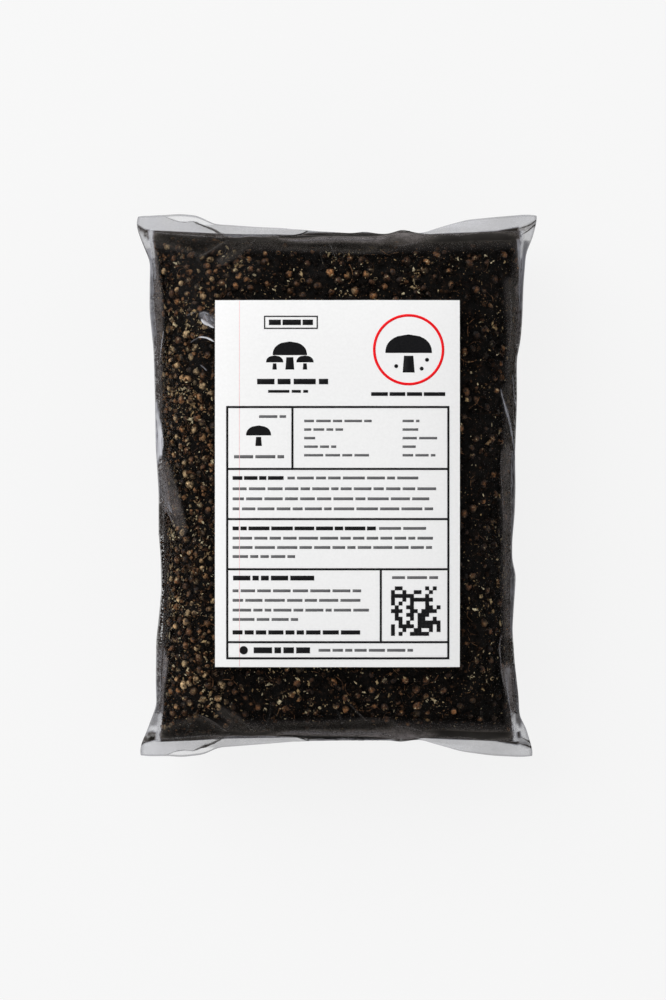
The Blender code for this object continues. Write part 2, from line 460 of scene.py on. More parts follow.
def grain_chance(places):
    """Grains lie thickest along one side of the front, and thinly along the other."""
    x, y, z = places.T
    left = smooth_step(-x, 0.030, 0.050) * (0.55 + 0.45 * fading(np.abs(y), 0.070, 0.090))
    right = smooth_step(x, 0.035, 0.050)
    return np.where(z > front_foot, 2.5 + 10.0 * left - 1.0 * right, 2.8)


sorghum = finish_in_coir("cooked sorghum", [
    (0.0, (0.058, 0.021, 0.008)),
    (0.35, (0.235, 0.098, 0.036)),
    (0.70, (0.60, 0.27, 0.095)),
    (1.0, (0.92, 0.64, 0.34)),
], 0.45, 0.20, 1500.0, 0.22, 1.5, eye_and_splits)
dice = np.random.default_rng(31)
grain_forms = template(
    lambda bm: bmesh.ops.create_icosphere(bm, subdivisions=2, radius=1.0), plump, 6, 32)
grain_eye = smooth_step(grain_forms[0][0][:, 2], 0.55, 0.80)
tried, tried_normals = spots_on_block(4 * grain_count, grain_chance, 33)
kept = spread_apart(tried, grain_spacing, grain_count)
grain_sizes = dice.uniform(*grain_radius, len(kept))
# Painted light: the grains' tones are raised towards the left, the side the lamp is on, where the grains also
# lie thickest.
sunlit = 0.71 + 0.78 * smooth_step(-tried[kept][:, 0], 0.035, 0.055)  # paler where they lie thickest
strew(
    "grains", grain_forms, tried[kept], tried_normals[kept],
    grain_sizes * dice.uniform(0.78, 1.28, len(kept)), random_turns(len(kept), dice),
    grain_sizes[:, None] * dice.uniform((0.92, 0.84, 0.76), (1.06, 1.0, 0.96), (len(kept), 3)),
    dice.beta(1.4, 1.7, len(kept)) * sunlit, sorghum, eye=grain_eye)

# The crumbs, flecks, husks and fibres
# What lies between the grains: chips of coir pith, cream-coloured flecks of broken starch, split
# husks that show as pale open rings, and a few brown coir fibres. All of it lies at the surface of
# the block, pressed against the film.

crumb_count, fleck_count, flake_count, husk_count, fibre_count = 16000, 7200, 600, 45, 420
crumb_size, fleck_size, flake_size = (0.0004, 0.0018), (0.00022, 0.0019), (0.0011, 0.0034)
fleck_shape, flake_shape = (1.0, 0.50, 0.38), (1.0, 0.58, 0.30)  # length, width and thickness
husk_radius, fibre_radius = (0.00070, 0.00125), (0.0025, 0.0075)
at_surface = (0.0001, 0.0006)  # how deep flat things lie
fine_margin = 0.002  # how far small things reach under the label


def chipped(places, dice):
    return places * dice.uniform(0.45, 1.15, places.shape)


def ragged(places, dice):
    return places * dice.uniform(0.55, 1.25, (len(places), 1)) * dice.uniform(0.6, 1.2, 3)


def cube_form(bm):
    bmesh.ops.create_cube(bm, size=1.0)


def fleck_form(bm):
    bmesh.ops.create_icosphere(bm, subdivisions=1, radius=0.5)


def flake_form(bm):
    bmesh.ops.create_uvsphere(bm, u_segments=9, v_segments=4, radius=0.5)


def jagged(places, dice):
    """Bitten into from all round, as a torn crumb of starch is."""
    around = np.arctan2(places[:, 1], places[:, 0])
    reach = 1.0 + 0.30 * np.sin(2 * around + dice.uniform(0, 6))
    reach += 0.32 * np.sin(5 * around + dice.uniform(0, 6))
    rough = dice.uniform(0.70, 1.25, (len(places), 1))
    return places * rough * np.stack([reach, reach, np.ones_like(reach)], axis=1)


def bent(places, dice):
    """Pinched to one side, and out of its plane."""
    around = np.arctan2(places[:, 1], places[:, 0])
    lean = 1.0 + 0.25 * np.sin(around + dice.uniform(0, 6))
    lifted = places[:, 2] + 0.12 * np.sin(2 * around + dice.uniform(0, 6))
    return np.stack([places[:, 0] * lean, places[:, 1] * lean * dice.uniform(0.6, 1.0), lifted], axis=1)


def arc_form(wall, angle, steps):
    """A rod of four sides, bent round the Z axis at a radius of 1."""
    def make(bm):
        made = bmesh.ops.create_circle(bm, segments=4, radius=wall)
        bmesh.ops.rotate(bm, verts=made["verts"], matrix=Matrix.Rotation(math.pi / 2, 3, "X"))
        bmesh.ops.translate(bm, verts=made["verts"], vec=(1.0, 0.0, 0.0))
        bmesh.ops.spin(bm, geom=bm.edges[:], axis=(0, 0, 1), angle=math.radians(angle), steps=steps)
        bmesh.ops.holes_fill(bm, edges=[edge for edge in bm.edges if edge.is_boundary])
        bmesh.ops.recalc_face_normals(bm, faces=bm.faces)
    return make


def turned_to(normals, dice):
    """Rotations that point +Z along the normals, with a random turn about them."""
    sides = np.cross(normals, dice.normal(size=normals.shape))
    sides /= np.linalg.norm(sides, axis=1)[:, None]
    return np.stack([sides, np.cross(normals, sides), normals], axis=2)


def everywhere(places):
    return np.where(places[:, 2] > front_foot, 1.6, 1.0)


def in_clusters(places):
    """Broken starch lies in patches, most of it among the grains, and little of it beside the seals."""
    patches = 1.2 * soft_noise(places, 0.010, 52) + 0.9 * soft_noise(places, 0.0040, 53)
    among = 0.75 + 0.12 * grain_chance(places)
    to_seal = half_length(0.5) - np.abs(places[:, 1])
    clear_of_seal = 0.25 + 0.75 * smooth_step(to_seal, 0.005, 0.012)
    return everywhere(places) * np.exp(1.5 * patches) * among * clear_of_seal


def on_flats(places):
    return ((places[:, 2] > 0.046) | (places[:, 2] < 0.006)).astype(float)


def mixed_sizes(limits, count, dice):
    """Many small ones and a few large."""
    low, high = limits
    return low + (high - low) * dice.power(0.5, count)[:, None] * dice.uniform(0.6, 1.0, (count, 3))


pith = finish_in_coir("coir pith", [
    (0.0, (0.0016, 0.0010, 0.0007)),
    (0.45, (0.010, 0.0054, 0.0031)),
    (0.80, (0.085, 0.042, 0.021)),
    (1.0, (0.30, 0.155, 0.075)),
], 0.75, 0.06, 1900.0, 0.35)
dice = np.random.default_rng(41)
spots, normals = spots_on_block(crumb_count, everywhere, 42, fine_margin)
# Random tones for the crumbs, with painted light that makes them paler on the left, the lamp's side.
crumb_tones_and_light = dice.beta(1.3, 2.5, crumb_count) + 0.33 * smooth_step(-spots[:, 0], 0.035, 0.055)
strew(
    "coir_crumbs", template(cube_form, chipped, 12, 43),
    spots, normals, dice.uniform(-0.0002, 0.0013, crumb_count), random_turns(crumb_count, dice),
    mixed_sizes(crumb_size, crumb_count, dice), crumb_tones_and_light, pith, smooth=False)

starch = finish_in_coir("starch flecks", [
    (0.0, (0.16, 0.085, 0.038)),
    (0.40, (0.50, 0.35, 0.17)),
    (1.0, (0.95, 0.84, 0.56)),
], 0.6, 0.15, 2400.0, 0.45)
spots, normals = spots_on_block(fleck_count, in_clusters, 44, fine_margin)
strew(
    "pale_flecks", template(fleck_form, ragged, 10, 45),
    spots, normals, dice.uniform(0.0, at_surface[1], fleck_count), turned_to(normals, dice),
    mixed_sizes(fleck_size, fleck_count, dice) * fleck_shape,
    dice.beta(1.1, 1.2, fleck_count), starch, smooth=False)
spots, normals = spots_on_block(flake_count, in_clusters, 46, fine_margin)
flakes = mixed_sizes(flake_size, flake_count, dice) * flake_shape
strew(
    "starch_flakes", template(flake_form, jagged, 12, 47), spots, normals,
    dice.uniform(*at_surface, flake_count), turned_to(normals, dice),
    flakes, dice.beta(1.2, 1.4, flake_count), starch, smooth=False)

spots, normals = spots_on_block(husk_count, grain_chance, 48)
strew(
    "husks", template(arc_form(0.26, 300, 12), bent, 6, 49), spots, normals,
    np.full(husk_count, 0.0003), turned_to(normals, dice),
    dice.uniform(*husk_radius, husk_count)[:, None] * np.ones(3), dice.uniform(0.1, 0.9, husk_count),
    finish_in_coir("husks", [
        (0.0, (0.20, 0.11, 0.05)), (0.6, (0.45, 0.30, 0.15)), (1.0, (0.75, 0.60, 0.36)),
    ], 0.6, 0.15, 1500.0, 0.4))

spots, normals = spots_on_block(fibre_count, on_flats, 50)
strew(
    "coir_fibres", template(arc_form(0.024, 75, 8), bent, 8, 51), spots, normals,
    dice.uniform(*at_surface, fibre_count), turned_to(normals, dice),
    dice.uniform(*fibre_radius, fibre_count)[:, None] * np.ones(3), dice.beta(1.5, 1.8, fibre_count),
    finish_in_coir("coir fibres", [
        (0.0, (0.05, 0.022, 0.010)), (0.6, (0.16, 0.075, 0.032)), (1.0, (0.36, 0.20, 0.09)),
    ], 0.6, 0.15, 1500.0, 0.5))

# The film
# A lay-flat tube of clear film, folded along its sides and welded across both ends outside the
# fill. The welded fins fold down behind the bag in the middle and stand free as four ears at the
# corners. It clings to the block, and is milky only where it hangs free or lies in folds; those
# greys also carry painted shade and painted highlights.

mm = 0.001
front_powers, back_powers = (3.7, 4.2), (3.6, 4.2)
side_cells, end_cells = 4, 14
body_cells = (184, 216)
fin_width = 0.0069
droop_folded, droop_corner = math.radians(88), math.radians(12)
fold_middle, fold_near, fold_far = 0.12, 0.25, 0.75
shelf = 0.30  # share of the folded fin that still points outwards, as a lip of trapped film
fin_wave, fin_waves = 0.0010, 5
gathers, gather_depth, gather_crest, gather_end = 5, 0.0013, 0.010, 0.032
layer_gap = 0.00022
least_lip, tip_round = 0.0006, 0.0004
camera_place = Vector((-0.0016, -0.0057, 2.898))
# The film's outline from the front, in mm. The ends are (x, y), and the sides are (y, x).
top_outline = np.array([
    (-83.1, 110.9), (-76.9, 112.0), (-70.3, 112.3), (-65.0, 112.7), (-57.8, 112.0), (-54.0, 110.1),
    (-50.7, 108.4), (-43.4, 108.0), (-31.8, 107.3), (-22.3, 107.0), (-11.4, 105.8), (-7.5, 105.4),
    (-1.0, 105.1), (6.2, 104.6), (11.5, 105.4), (14.5, 104.9), (17.0, 104.4), (21.4, 104.3),
    (24.8, 105.6), (27.4, 106.3), (31.8, 105.0), (35.0, 104.5), (39.6, 106.4), (46.8, 108.5),
    (54.2, 110.4), (61.5, 111.0), (72.4, 111.9), (79.1, 112.5), (83.2, 112.0),
])
bottom_outline = np.array([
    (-83.0, 110.9), (-78.1, 111.8), (-70.7, 111.6), (-64.2, 112.1), (-55.0, 111.0), (-49.2, 108.1),
    (-31.8, 106.9), (-11.5, 105.4), (1.3, 105.2), (21.4, 105.1), (26.3, 105.8), (33.6, 104.7),
    (39.6, 106.5), (51.8, 109.9), (63.9, 111.4), (80.3, 112.3), (83.0, 111.6),
])
left_outline = np.array([
    (-111.6, 81.6), (-107.2, 81.2), (-102.0, 78.9), (-90.5, 74.6), (-81.0, 74.9), (-63.6, 74.7),
    (-52.0, 73.4), (-42.9, 72.6), (-28.4, 72.9), (-19.8, 73.7), (-2.4, 73.7), (16.2, 74.9),
    (35.7, 75.2), (55.9, 75.8), (72.9, 77.5), (85.3, 77.4), (92.6, 77.2), (102.9, 81.4),
    (107.9, 83.0), (111.8, 82.6),
])
right_outline = np.array([
    (-112.3, 81.2), (-109.9, 81.2), (-99.0, 77.9), (-95.5, 75.6), (-86.4, 75.1), (-73.5, 73.6),
    (-59.1, 72.6), (-43.8, 73.6), (-36.7, 74.1), (-30.5, 72.5), (-22.7, 72.5), (-10.7, 73.6),
    (-1.2, 73.9), (13.7, 73.7), (35.7, 74.5), (52.6, 74.4), (60.5, 76.0), (69.2, 76.7),
    (83.6, 77.2), (96.2, 78.2), (102.9, 81.0), (110.5, 82.9), (112.6, 83.1),
])


def gather(p, q):
    """Soft folds that run into the body from each seal, where the flat tube is drawn in."""
    from_seal = (1.0 - np.abs(q)) * half_length(p)
    rising = smooth_step(from_seal, 0.0, gather_crest)
    falling = fading(from_seal, gather_crest, gather_end)
    wave = 0.5 + 0.5 * np.cos(math.pi * gathers * p)
    return gather_depth * rising * falling * wave * (1.0 - p * p)


def front_height(p, q):
    foot = film_low.z
    return foot + (thickness - foot) * rise(p, q, front_powers) + gather(p, q)


def on_outline(outline, at):
    """The outline with its corners rounded off."""
    spread = ((-2.6, 0.12), (-1.3, 0.23), (0.0, 0.30), (1.3, 0.23), (2.6, 0.12))
    return mm * sum(share * np.interp(at / mm + step, outline[:, 0], outline[:, 1]) for step, share in spread)


def film_places(p, side, q, end, upper):
    """The tube: side and end are the shares, 0 to 1, of the way out over its pressed rim."""
    x, y = plan_point(p, q)
    reach = np.where(q > 0, on_outline(top_outline, x), on_outline(bottom_outline, x)) - np.abs(y)
    lifted = smooth_step(np.abs(p - fold_middle), fold_near, fold_far)
    out = lifted * end + (1.0 - lifted) * np.minimum(1.0, end / shelf)
    y = y + np.sign(q) * out * np.where(end > 0, reach, 0.0)
    lip = np.where(x < 0, on_outline(left_outline, y), on_outline(right_outline, y)) - np.abs(x)
    x = x + np.sign(x) * side * np.where(side > 0, np.maximum(lip, least_lip), 0.0)
    tip = tip_round * (side * end) ** 3
    x, y = x - np.sign(x) * tip, y - np.sign(y) * tip
    droop = droop_folded + (droop_corner - droop_folded) * lifted
    down = lifted * end + (1.0 - lifted) * np.maximum(0.0, (end - shelf) / (1.0 - shelf))
    ripple = fin_wave * np.sin(fin_waves * math.pi * p) * np.abs(p)
    rim = seam_height - down * fin_width * np.sin(droop) + end * end * ripple
    back = seam_height - (seam_height + sole_press) * rise(p, q, back_powers) - gather(p, q)
    on_rim = (side > 0) | (end > 0)
    top = np.where(on_rim, rim + layer_gap, front_height(p, q))
    bottom = np.where(on_rim, rim - layer_gap, np.maximum(0.0, back))
    return np.stack([x, y, np.where(upper, top, bottom)], axis=1)


def seen_on_front(places):
    """Where points show in the plane of the bag's highest point, from above, in mm."""
    share = (camera_place.z - thickness) / (camera_place.z - places[:, 2])
    middle = np.array(camera_place[:2])
    return (middle + (places[:, :2] - middle) * share[:, None]) / mm


def gap_to_line(plan, points):
    """Distance of each place from a line through the points, and how far along it that is, 0 to 1."""
    points = np.array(points, float)
    lengths = np.linalg.norm(np.diff(points, axis=0), axis=1)
    nearest, reached = np.full(len(plan), np.inf), np.zeros(len(plan))
    for k, length in enumerate(lengths):
        step = (points[k + 1] - points[k]) / length
        offset = plan - points[k]
        on = np.clip(offset @ step, 0.0, length)
        gap = np.linalg.norm(offset - on[:, None] * step, axis=1)
        closer = gap < nearest
        nearest = np.where(closer, gap, nearest)
        reached = np.where(closer, (lengths[:k].sum() + on) / lengths.sum(), reached)
    return nearest, reached


def along_line(plan, points, width):
    """1 along a line through the points, fading to its sides and ends."""
    nearest, reached = gap_to_line(plan, points)
    taper = np.sin(math.pi * np.clip(reached, 0.04, 0.96)) ** 0.5
    return taper * np.exp(-((nearest / width) ** 2))


def within(plan, corners, soft):
    """1 inside the corners, fading to 0 over the soft width across their line."""
    closed = list(corners) + [corners[0]]
    nearest, _ = gap_to_line(plan, closed)
    inside = np.zeros(len(plan), bool)
    for (x0, y0), (x1, y1) in zip(closed, closed[1:]):
        if y0 == y1:
            continue
        crosses = (plan[:, 1] > y0) != (plan[:, 1] > y1)
        inside ^= crosses & (plan[:, 0] < x0 + (plan[:, 1] - y0) * (x1 - x0) / (y1 - y0))
    return smooth_step(np.where(inside, nearest, -nearest), -soft / 2, soft / 2)


def rim_shares(index, cells, shares, count):
    """Share of the body and of the way out over the rim, for grid lines."""
    inner = np.clip(index - cells, 0, count)
    return shares[inner], np.abs(index - cells - inner) / cells


film_cells = (body_cells[0] + 2 * side_cells, body_cells[1] + 2 * end_cells)
film_mesh = double_grid(film_cells, share_edge=False)
grid_places = read_vectors(film_mesh.vertices, "co")
film_across = arc_shares(2 * half_waist, front_powers[0], body_cells[0])
film_along = arc_shares(2 * seal_reach, front_powers[1], body_cells[1], crowding=0.45)
p, side = rim_shares(grid_places[:, 0].astype(int), side_cells, film_across, body_cells[0])
q, end = rim_shares(grid_places[:, 1].astype(int), end_cells, film_along, body_cells[1])
upper = grid_places[:, 2] > 0.5
places = film_places(p, side, q, end, upper)
write_places(film_mesh, places)
film_normals = read_vectors(film_mesh.vertex_normals, "vector")
rim = (side > 0) | (end > 0)
film_normals[rim] = (0.0, 0.0, 1.0)
plan = seen_on_front(places)
towards_end = plan, plan * (1.0, -1.0)

from_seal = (1.0 - np.abs(q)) * half_length(p)
from_side = (1.0 - np.abs(p)) * half_width(places[:, 1])
cloud = soft_noise(places, 0.007, 61) + 0.8 * soft_noise(places, 0.0026, 62)
lift = np.zeros(len(places))
haze = np.full(len(places), 0.003)
pale = np.full(len(places), 0.10)


def lay(mask, veil, tone):
    """Brings the haze and the paleness to these values where the mask is 1."""
    haze[:] += (np.clip(veil * (1.0 + 0.14 * cloud), 0.0, 2.0) - haze) * mask
    pale[:] += (np.clip(tone * (1.0 + 0.26 * cloud), 0.0, 0.97) - pale) * mask


# Where it hangs free beside the seals and side folds it is a dark veil over the block, with coir
# dust caught in it; the dark is painted shade, deepest along the top seal and down the right side.
# Under the side folds its lower wall is opaque and coir coloured: partly coir packed past the
# block's edge, and partly painted shade under the fold. The ears are a paler grey, as the table
# shows through them, and paler still on the lower ears and towards the left, which is painted light.
at_top, at_right = places[:, 1] > 0, places[:, 0] > 0
# Painted shade: dark veils beside the seals and along the sides, darker at the top and on the right.
lay(fading(from_seal, 0.0018, 0.0090), 0.60, np.where(at_top, 0.022, 0.048))
lay(at_right * fading(from_side, 0.0006, 0.0050), 0.50, 0.034)
lay(fading(from_side, 0.0001, 0.0009), 0.60, 0.040)
beside_ear = smooth_step(np.abs(places[:, 0]), 0.050, 0.057) * smooth_step(np.abs(places[:, 1]), 0.084, 0.091)
past_block = np.minimum(from_side, from_seal) - 0.0016 * beside_ear
# Painted shade with coir: the lower wall under each side fold is opaque and coir coloured.
coir_and_shade_under_fold = ~upper * fading(past_block, 0.0014, 0.0026)
lay(coir_and_shade_under_fold, 1.90, 0.026)
lay(rim & (side > 0), 0.68, 0.060)
lay(upper * fading(from_seal, 0.0006, 0.0018), 0.55, 0.050)
# Painted shadow: a nearly black band in the middle of each end, where the fin folds down behind the bag.
gap_shadow = smooth_step(places[:, 0], -0.027, -0.022) * fading(places[:, 0], 0.017, 0.023)
lay(gap_shadow * fading(from_seal, 0.0009, 0.0017), 1.20, 0.006)
above_walls = np.where(rim, 1.0, smooth_step(places[:, 2], 0.033, 0.041))
lay(upper * (1.0 - above_walls), 0.30, 0.105)
to_corner = smooth_step(np.abs(places[:, 1]), 0.091, 0.095)
corner_fold = to_corner * fading(from_side, 0.0006, 0.0024)
lay(corner_fold, 0.45, 0.36)
# The lower ears and those towards the left are paler: painted light.
ear_tone_and_light = np.where(at_top, 0.355, 0.46 - 0.4 * places[:, 0])
lay(rim & (end > 0), 0.35, ear_tone_and_light)
lay((rim & (side > 0)) * to_corner, 0.34, ear_tone_and_light)

# The folds and veils that show most, (corners, softness, haze, paleness). The nearly black ones
# are painted shadow in the gaps under the folded fins and beside the broad folds, and the dark
# greys are painted shade over the block.
end_veils_and_shade = [
    ([(-77.8, 104.7), (-72.7, 103.5), (-66.6, 103.0), (-54.1, 102.2), (-45, 101.6), (-38, 102.1),
      (-25, 102.1), (-25, 100.4), (-45, 99.6), (-70, 100.4), (-76.9, 100.8)], 0.7, 1.70, 0.014),
    ([(37.4, 101.6), (42.2, 102.7), (50.4, 102.5), (58.1, 103.7), (64.9, 104.1), (74.2, 105.8), (75.6, 102.5),
      (74.6, 100.4), (60, 100.2), (37.4, 99.4)], 0.7, 1.70, 0.014),
    ([(-71, 110.6), (-68.6, 109.6), (-65.6, 108.4), (-62.2, 108.0), (-58.8, 108.4), (-57.5, 108.1),
      (-54.1, 106.7), (-50.3, 106.8), (-46, 112), (-46, 115), (-71, 115)], 0.5, 0.13, 0.50),
    ([(-54.1, 106.5), (-51.0, 105.2), (-48.6, 103.6), (-46.8, 101.7), (-20, 101.9), (-14, 103.0),
      (-11, 104.6), (-11, 112), (-46, 112), (-50.3, 106.8)], 0.6, 0.32, 0.28),
    ([(-81.6, 106.4), (-77.8, 104.4), (-73.5, 102.5), (-74.7, 99.9), (-76.4, 100.0), (-79.0, 102.2)],
     1.0, 0.90, 0.070),
    ([(-78.2, 104.8), (-76.4, 104.4), (-74.0, 103.4), (-74.2, 101.8), (-77.0, 102.6)], 0.8, 1.10, 0.012),
    ([(-72.7, 102.6), (-44, 101.2), (-49.0, 97.8), (-54.7, 94.5), (-62, 96.0), (-70, 99.5)],
     2.0, 0.66, 0.015),
    ([(-37.6, 101.6), (-32.5, 101.2), (-40.4, 94.3), (-46.8, 90.8), (-48.5, 92.5), (-44.0, 95.6)],
     2.4, 0.70, 0.028),
    ([(-26, 101.9), (-17, 100.7), (-5.6, 101.4), (10, 100.8), (23, 101.6), (23, 96.2), (10, 95.6),
      (-8, 97.2), (-24, 97.0)], 3.0, 0.74, 0.016),
    ([(14, 100.6), (23.4, 104.0), (27.3, 105.4), (32.6, 103.6), (38.4, 101.4), (33, 99.3), (27.8, 98.4),
      (22.9, 98.2), (16, 98.9)], 1.2, 0.84, 0.075),
    ([(16.0, 100.6), (23.4, 103.6), (27.3, 105.0), (32.6, 103.3), (36.4, 101.6), (30, 100.4)],
     1.6, 0.88, 0.105),
    ([(-25.3, 102.0), (-21, 101.3), (-15, 101.2), (-11, 101.5), (0.6, 101.9), (9.2, 101.9), (18.3, 102.0),
      (22.8, 102.4), (22.8, 99.9), (14, 99.5), (5, 99.6), (-4, 99.5), (-11, 99.3), (-15, 99.7), (-20, 99.9),
      (-24, 101.0)], 1.1, 0.80, 0.100),
    ([(-11.5, 103.8), (1, 103.7), (22, 103.6), (22.8, 102.9), (9.2, 102.6), (0.6, 102.9), (-12.3, 102.4),
      (-17, 102.2)], 0.9, 0.72, 0.080),
    ([(-25.3, 102.5), (-21, 101.9), (-17, 102.3), (-13, 103.0), (-11, 103.2), (0, 103.2), (22.8, 103.2),
      (22.8, 102.5), (14, 101.9), (5, 101.9), (-4, 101.8), (-11, 101.4), (-15, 101.1), (-20, 101.1),
      (-24, 101.8)], 0.5, 1.80, 0.003),
    ([(73.9, 105.3), (78.0, 107.0), (82.4, 109.4), (82.4, 107.8), (77.9, 103.8), (74.6, 102.3)],
     0.7, 0.60, 0.17),
]
# Down the sides the greys are painted light and shade: the left strip pales towards its outer edge, one
# bright strip on it is a painted highlight, and the dark greys are painted shade.
side_veils_and_light = [
    ([(-79, 96), (-73.6, 96), (-73.0, 86), (-71.2, 78), (-70.9, 70), (-70.7, 62), (-71.5, 54), (-71.4, 44),
      (-71.6, 36), (-73.2, 32), (-79, 32)], 1.6, 0.62, 0.085),
    ([(-79, 97), (-75.0, 97), (-74.0, 88), (-73.9, 84), (-74.2, 74), (-73.2, 64), (-73.4, 52), (-73.4, 34),
      (-79, 34)], 1.6, 0.62, 0.17),
    ([(-79, 97), (-74.9, 97), (-74.3, 86), (-75.1, 76), (-75.0, 58), (-79, 58)], 0.9, 0.64, 0.34),
    ([(-73.6, 34.5), (-72.9, 30.2), (-72.5, 27.0), (-71.6, 23.7), (-71.2, 20.4), (-70.8, 17.2), (-71.2, 13.9),
      (-72.6, 10.6), (-73.6, 6.5), (-74.6, 2.0), (-77, 2.0), (-77, 34.5)], 0.6, 1.10, 0.60),
    ([(-72.6, 12.0), (-69.6, 10.4), (-67.0, 5.0), (-64.9, -2.5), (-61.3, -18.8), (-62.5, -20.0),
      (-64.9, -18.0), (-68.2, -10.6), (-71.2, -8.0), (-77, -6), (-76.4, 0.0), (-73.8, 6.0)],
     1.0, 0.46, 0.110),
    ([(-72.4, 9.0), (-70.6, 9.4), (-69.0, 2.0), (-67.6, -7.0), (-70.0, -11.0), (-72.5, -6.0), (-77, -6),
      (-76.4, -1.0), (-73.6, 5.0)], 1.4, 0.62, 0.155),
    ([(-79, -20), (-70.4, -20), (-69.0, -40), (-69.4, -64), (-79, -64)], 1.6, 0.22, 0.020),
    ([(-79, -20), (-72.0, -20), (-71.6, -40), (-72.0, -64), (-79, -64)], 1.0, 0.55, 0.085),
    ([(-77, -65), (-70.8, -66), (-68.9, -71), (-69.4, -77), (-70.7, -84), (-70.8, -92), (-72.6, -97),
      (-78, -97)], 1.0, 0.60, 0.150),
    ([(-77, -76), (-73.8, -77), (-73.2, -88), (-73.6, -98), (-78, -98)], 1.2, 0.66, 0.24),
    ([(-56.6, 70.3), (-55.5, 71.3), (-53.9, 71.3), (-52.9, 70.3), (-51.8, 68.6), (-49.9, 67.4), (-49.0, 64.0),
      (-51.9, 65.2), (-54.3, 66.8), (-55.5, 68.5)], 0.9, 0.50, 0.21),
    ([(-52.6, 70.2), (-49.0, 70.4), (-49.0, 65.0), (-51.2, 67.0)], 1.2, 0.36, 0.14),
    ([(69.0, 84.0), (74.5, 86.0), (76.0, 70), (75.5, 47), (69.5, 47), (70.0, 66)], 3.4, 0.56, 0.050),
    ([(73.0, 82.0), (76.5, 84.0), (77.0, 70), (76.5, 47), (72.8, 47), (73.6, 66)], 1.8, 0.74, 0.130),
    ([(73.6, 101), (78.5, 100), (78.0, 72), (74.8, 72)], 1.0, 0.86, 0.34),
    ([(67.4, 38.5), (69.2, 30), (71.2, 21), (73.5, 17), (73.5, 47), (71.8, 44)], 2.6, 0.60, 0.040),
    ([(67.3, 13.9), (69.5, 17.5), (75, 16), (75, -22), (68.4, -22), (67.0, -5)], 1.6, 0.64, 0.072),
    ([(68.2, -22), (75, -22), (74, -62), (68.9, -62)], 2.2, 0.56, 0.085),
    ([(71.0, 14), (75, 14), (75, -22), (74, -62), (70.6, -62), (71.2, -22)], 0.8, 0.80, 0.250),
    ([(66.9, -73.2), (73.6, -73.2), (75.4, -91.5), (75.4, -99), (71.6, -95), (69.3, -84.6)],
     1.0, 0.78, 0.130),
]
on_wall = np.where(rim, 0.0, fading(places[:, 2], 0.044, 0.053))
walls = on_wall > 0
for facing in towards_end:
    for corners, soft, veil, tone in end_veils_and_shade:
        edge = within(facing, corners, soft)
        shifted = [facing[walls] + (step, 0.0) for step in (-4.0, -2.0, 0.0, 2.0, 4.0)]
        spread = [within(seen, corners, soft) for seen in shifted]
        edge[walls] += on_wall[walls] * (sum(spread) / len(spread) - edge[walls])
        lay(edge * (upper | (end > 0)) * above_walls, veil, tone)
for corners, soft, veil, tone in side_veils_and_light:
    lay(within(plan, corners, soft) * (upper | (side > 0)) * above_walls, veil, tone)
lay((end > 0.9) & (pale > 0.15), 0.42, 0.30)
lay((side > 0.9) & (pale > 0.15), 0.52, 0.24)

# Broad folds that stand proud of the block, (points, width, lift)
end_folds = [
    ([(-43.9, 100.8), (-49.0, 97.6), (-54.7, 94.2)], 1.4, 0.7),
    ([(-35.0, 101.0), (-39.0, 97.8), (-47.0, 91.4)], 2.0, 0.9),
    ([(-25.0, 101.0), (-12.3, 100.8), (4.3, 100.9), (22.5, 101.5)], 1.2, 0.8),
    ([(15.0, 99.0), (27.4, 102.4), (37.2, 101.0)], 2.4, 0.7),
    ([(-58.8, 108.2), (-54.7, 106.4), (-51.0, 105.2), (-48.6, 103.8), (-45.6, 101.8)], 0.9, 0.8),
]
side_folds = [
    ([(-72.5, 12.7), (-68.0, -2.0), (-63.5, -18.0)], 2.2, 0.7),
    ([(67.3, 39.5), (68.8, 32.6), (70.8, 25.7), (72.4, 16.4)], 1.4, 0.8),
    ([(68.4, 14.0), (68.0, -4.0), (69.5, -22.0)], 1.8, 0.6),
    ([(68.7, -75.4), (71.0, -90.0), (72.8, -101.0)], 1.2, 0.6),
]
for facing in towards_end:
    for points, width, high in end_folds:
        lift += high * mm * along_line(facing, points, width) * (upper | rim)
for points, width, high in side_folds:
    lift += high * mm * along_line(plan, points, width) * upper
label_edge = np.maximum(np.abs(places[:, 0] - label_shift[0]) - label_half[0],
                        np.abs(places[:, 1] - label_shift[1]) - label_half[1])
bare = np.where(upper, smooth_step(label_edge, 0.0005, 0.003), 1.0)
near_edge = fading(np.minimum(from_seal, from_side), 0.004, 0.022)
lift += 0.00045 * soft_noise(places, 0.015, 63) * np.where(rim, 0.8, near_edge)
lift += 0.00012 * soft_noise(places, 0.006, 64) * np.where(rim, 0.6, near_edge)
lift = np.maximum(lift, -0.00012) * bare
places = places + film_normals * lift[:, None]
places[:, 2] = np.maximum(places[:, 2], 0.0)
write_places(film_mesh, places)
write_values(film_mesh, "haze", haze)
write_values(film_mesh, "pale", pale)
write_values(film_mesh, "packed", coir_and_shade_under_fold * ~rim * (1.0 - corner_fold))
write_values(film_mesh, "free", smooth_step(1.0 - np.abs(film_normals[:, 2]), 0.25, 0.80))


def mix_shaders(tree, share, first, second):
    node = add_node(tree, "MixShader")
    for socket, value in zip(node.inputs, (share, first, second)):
        tree.links.new(value, socket)
    return node.outputs[0]


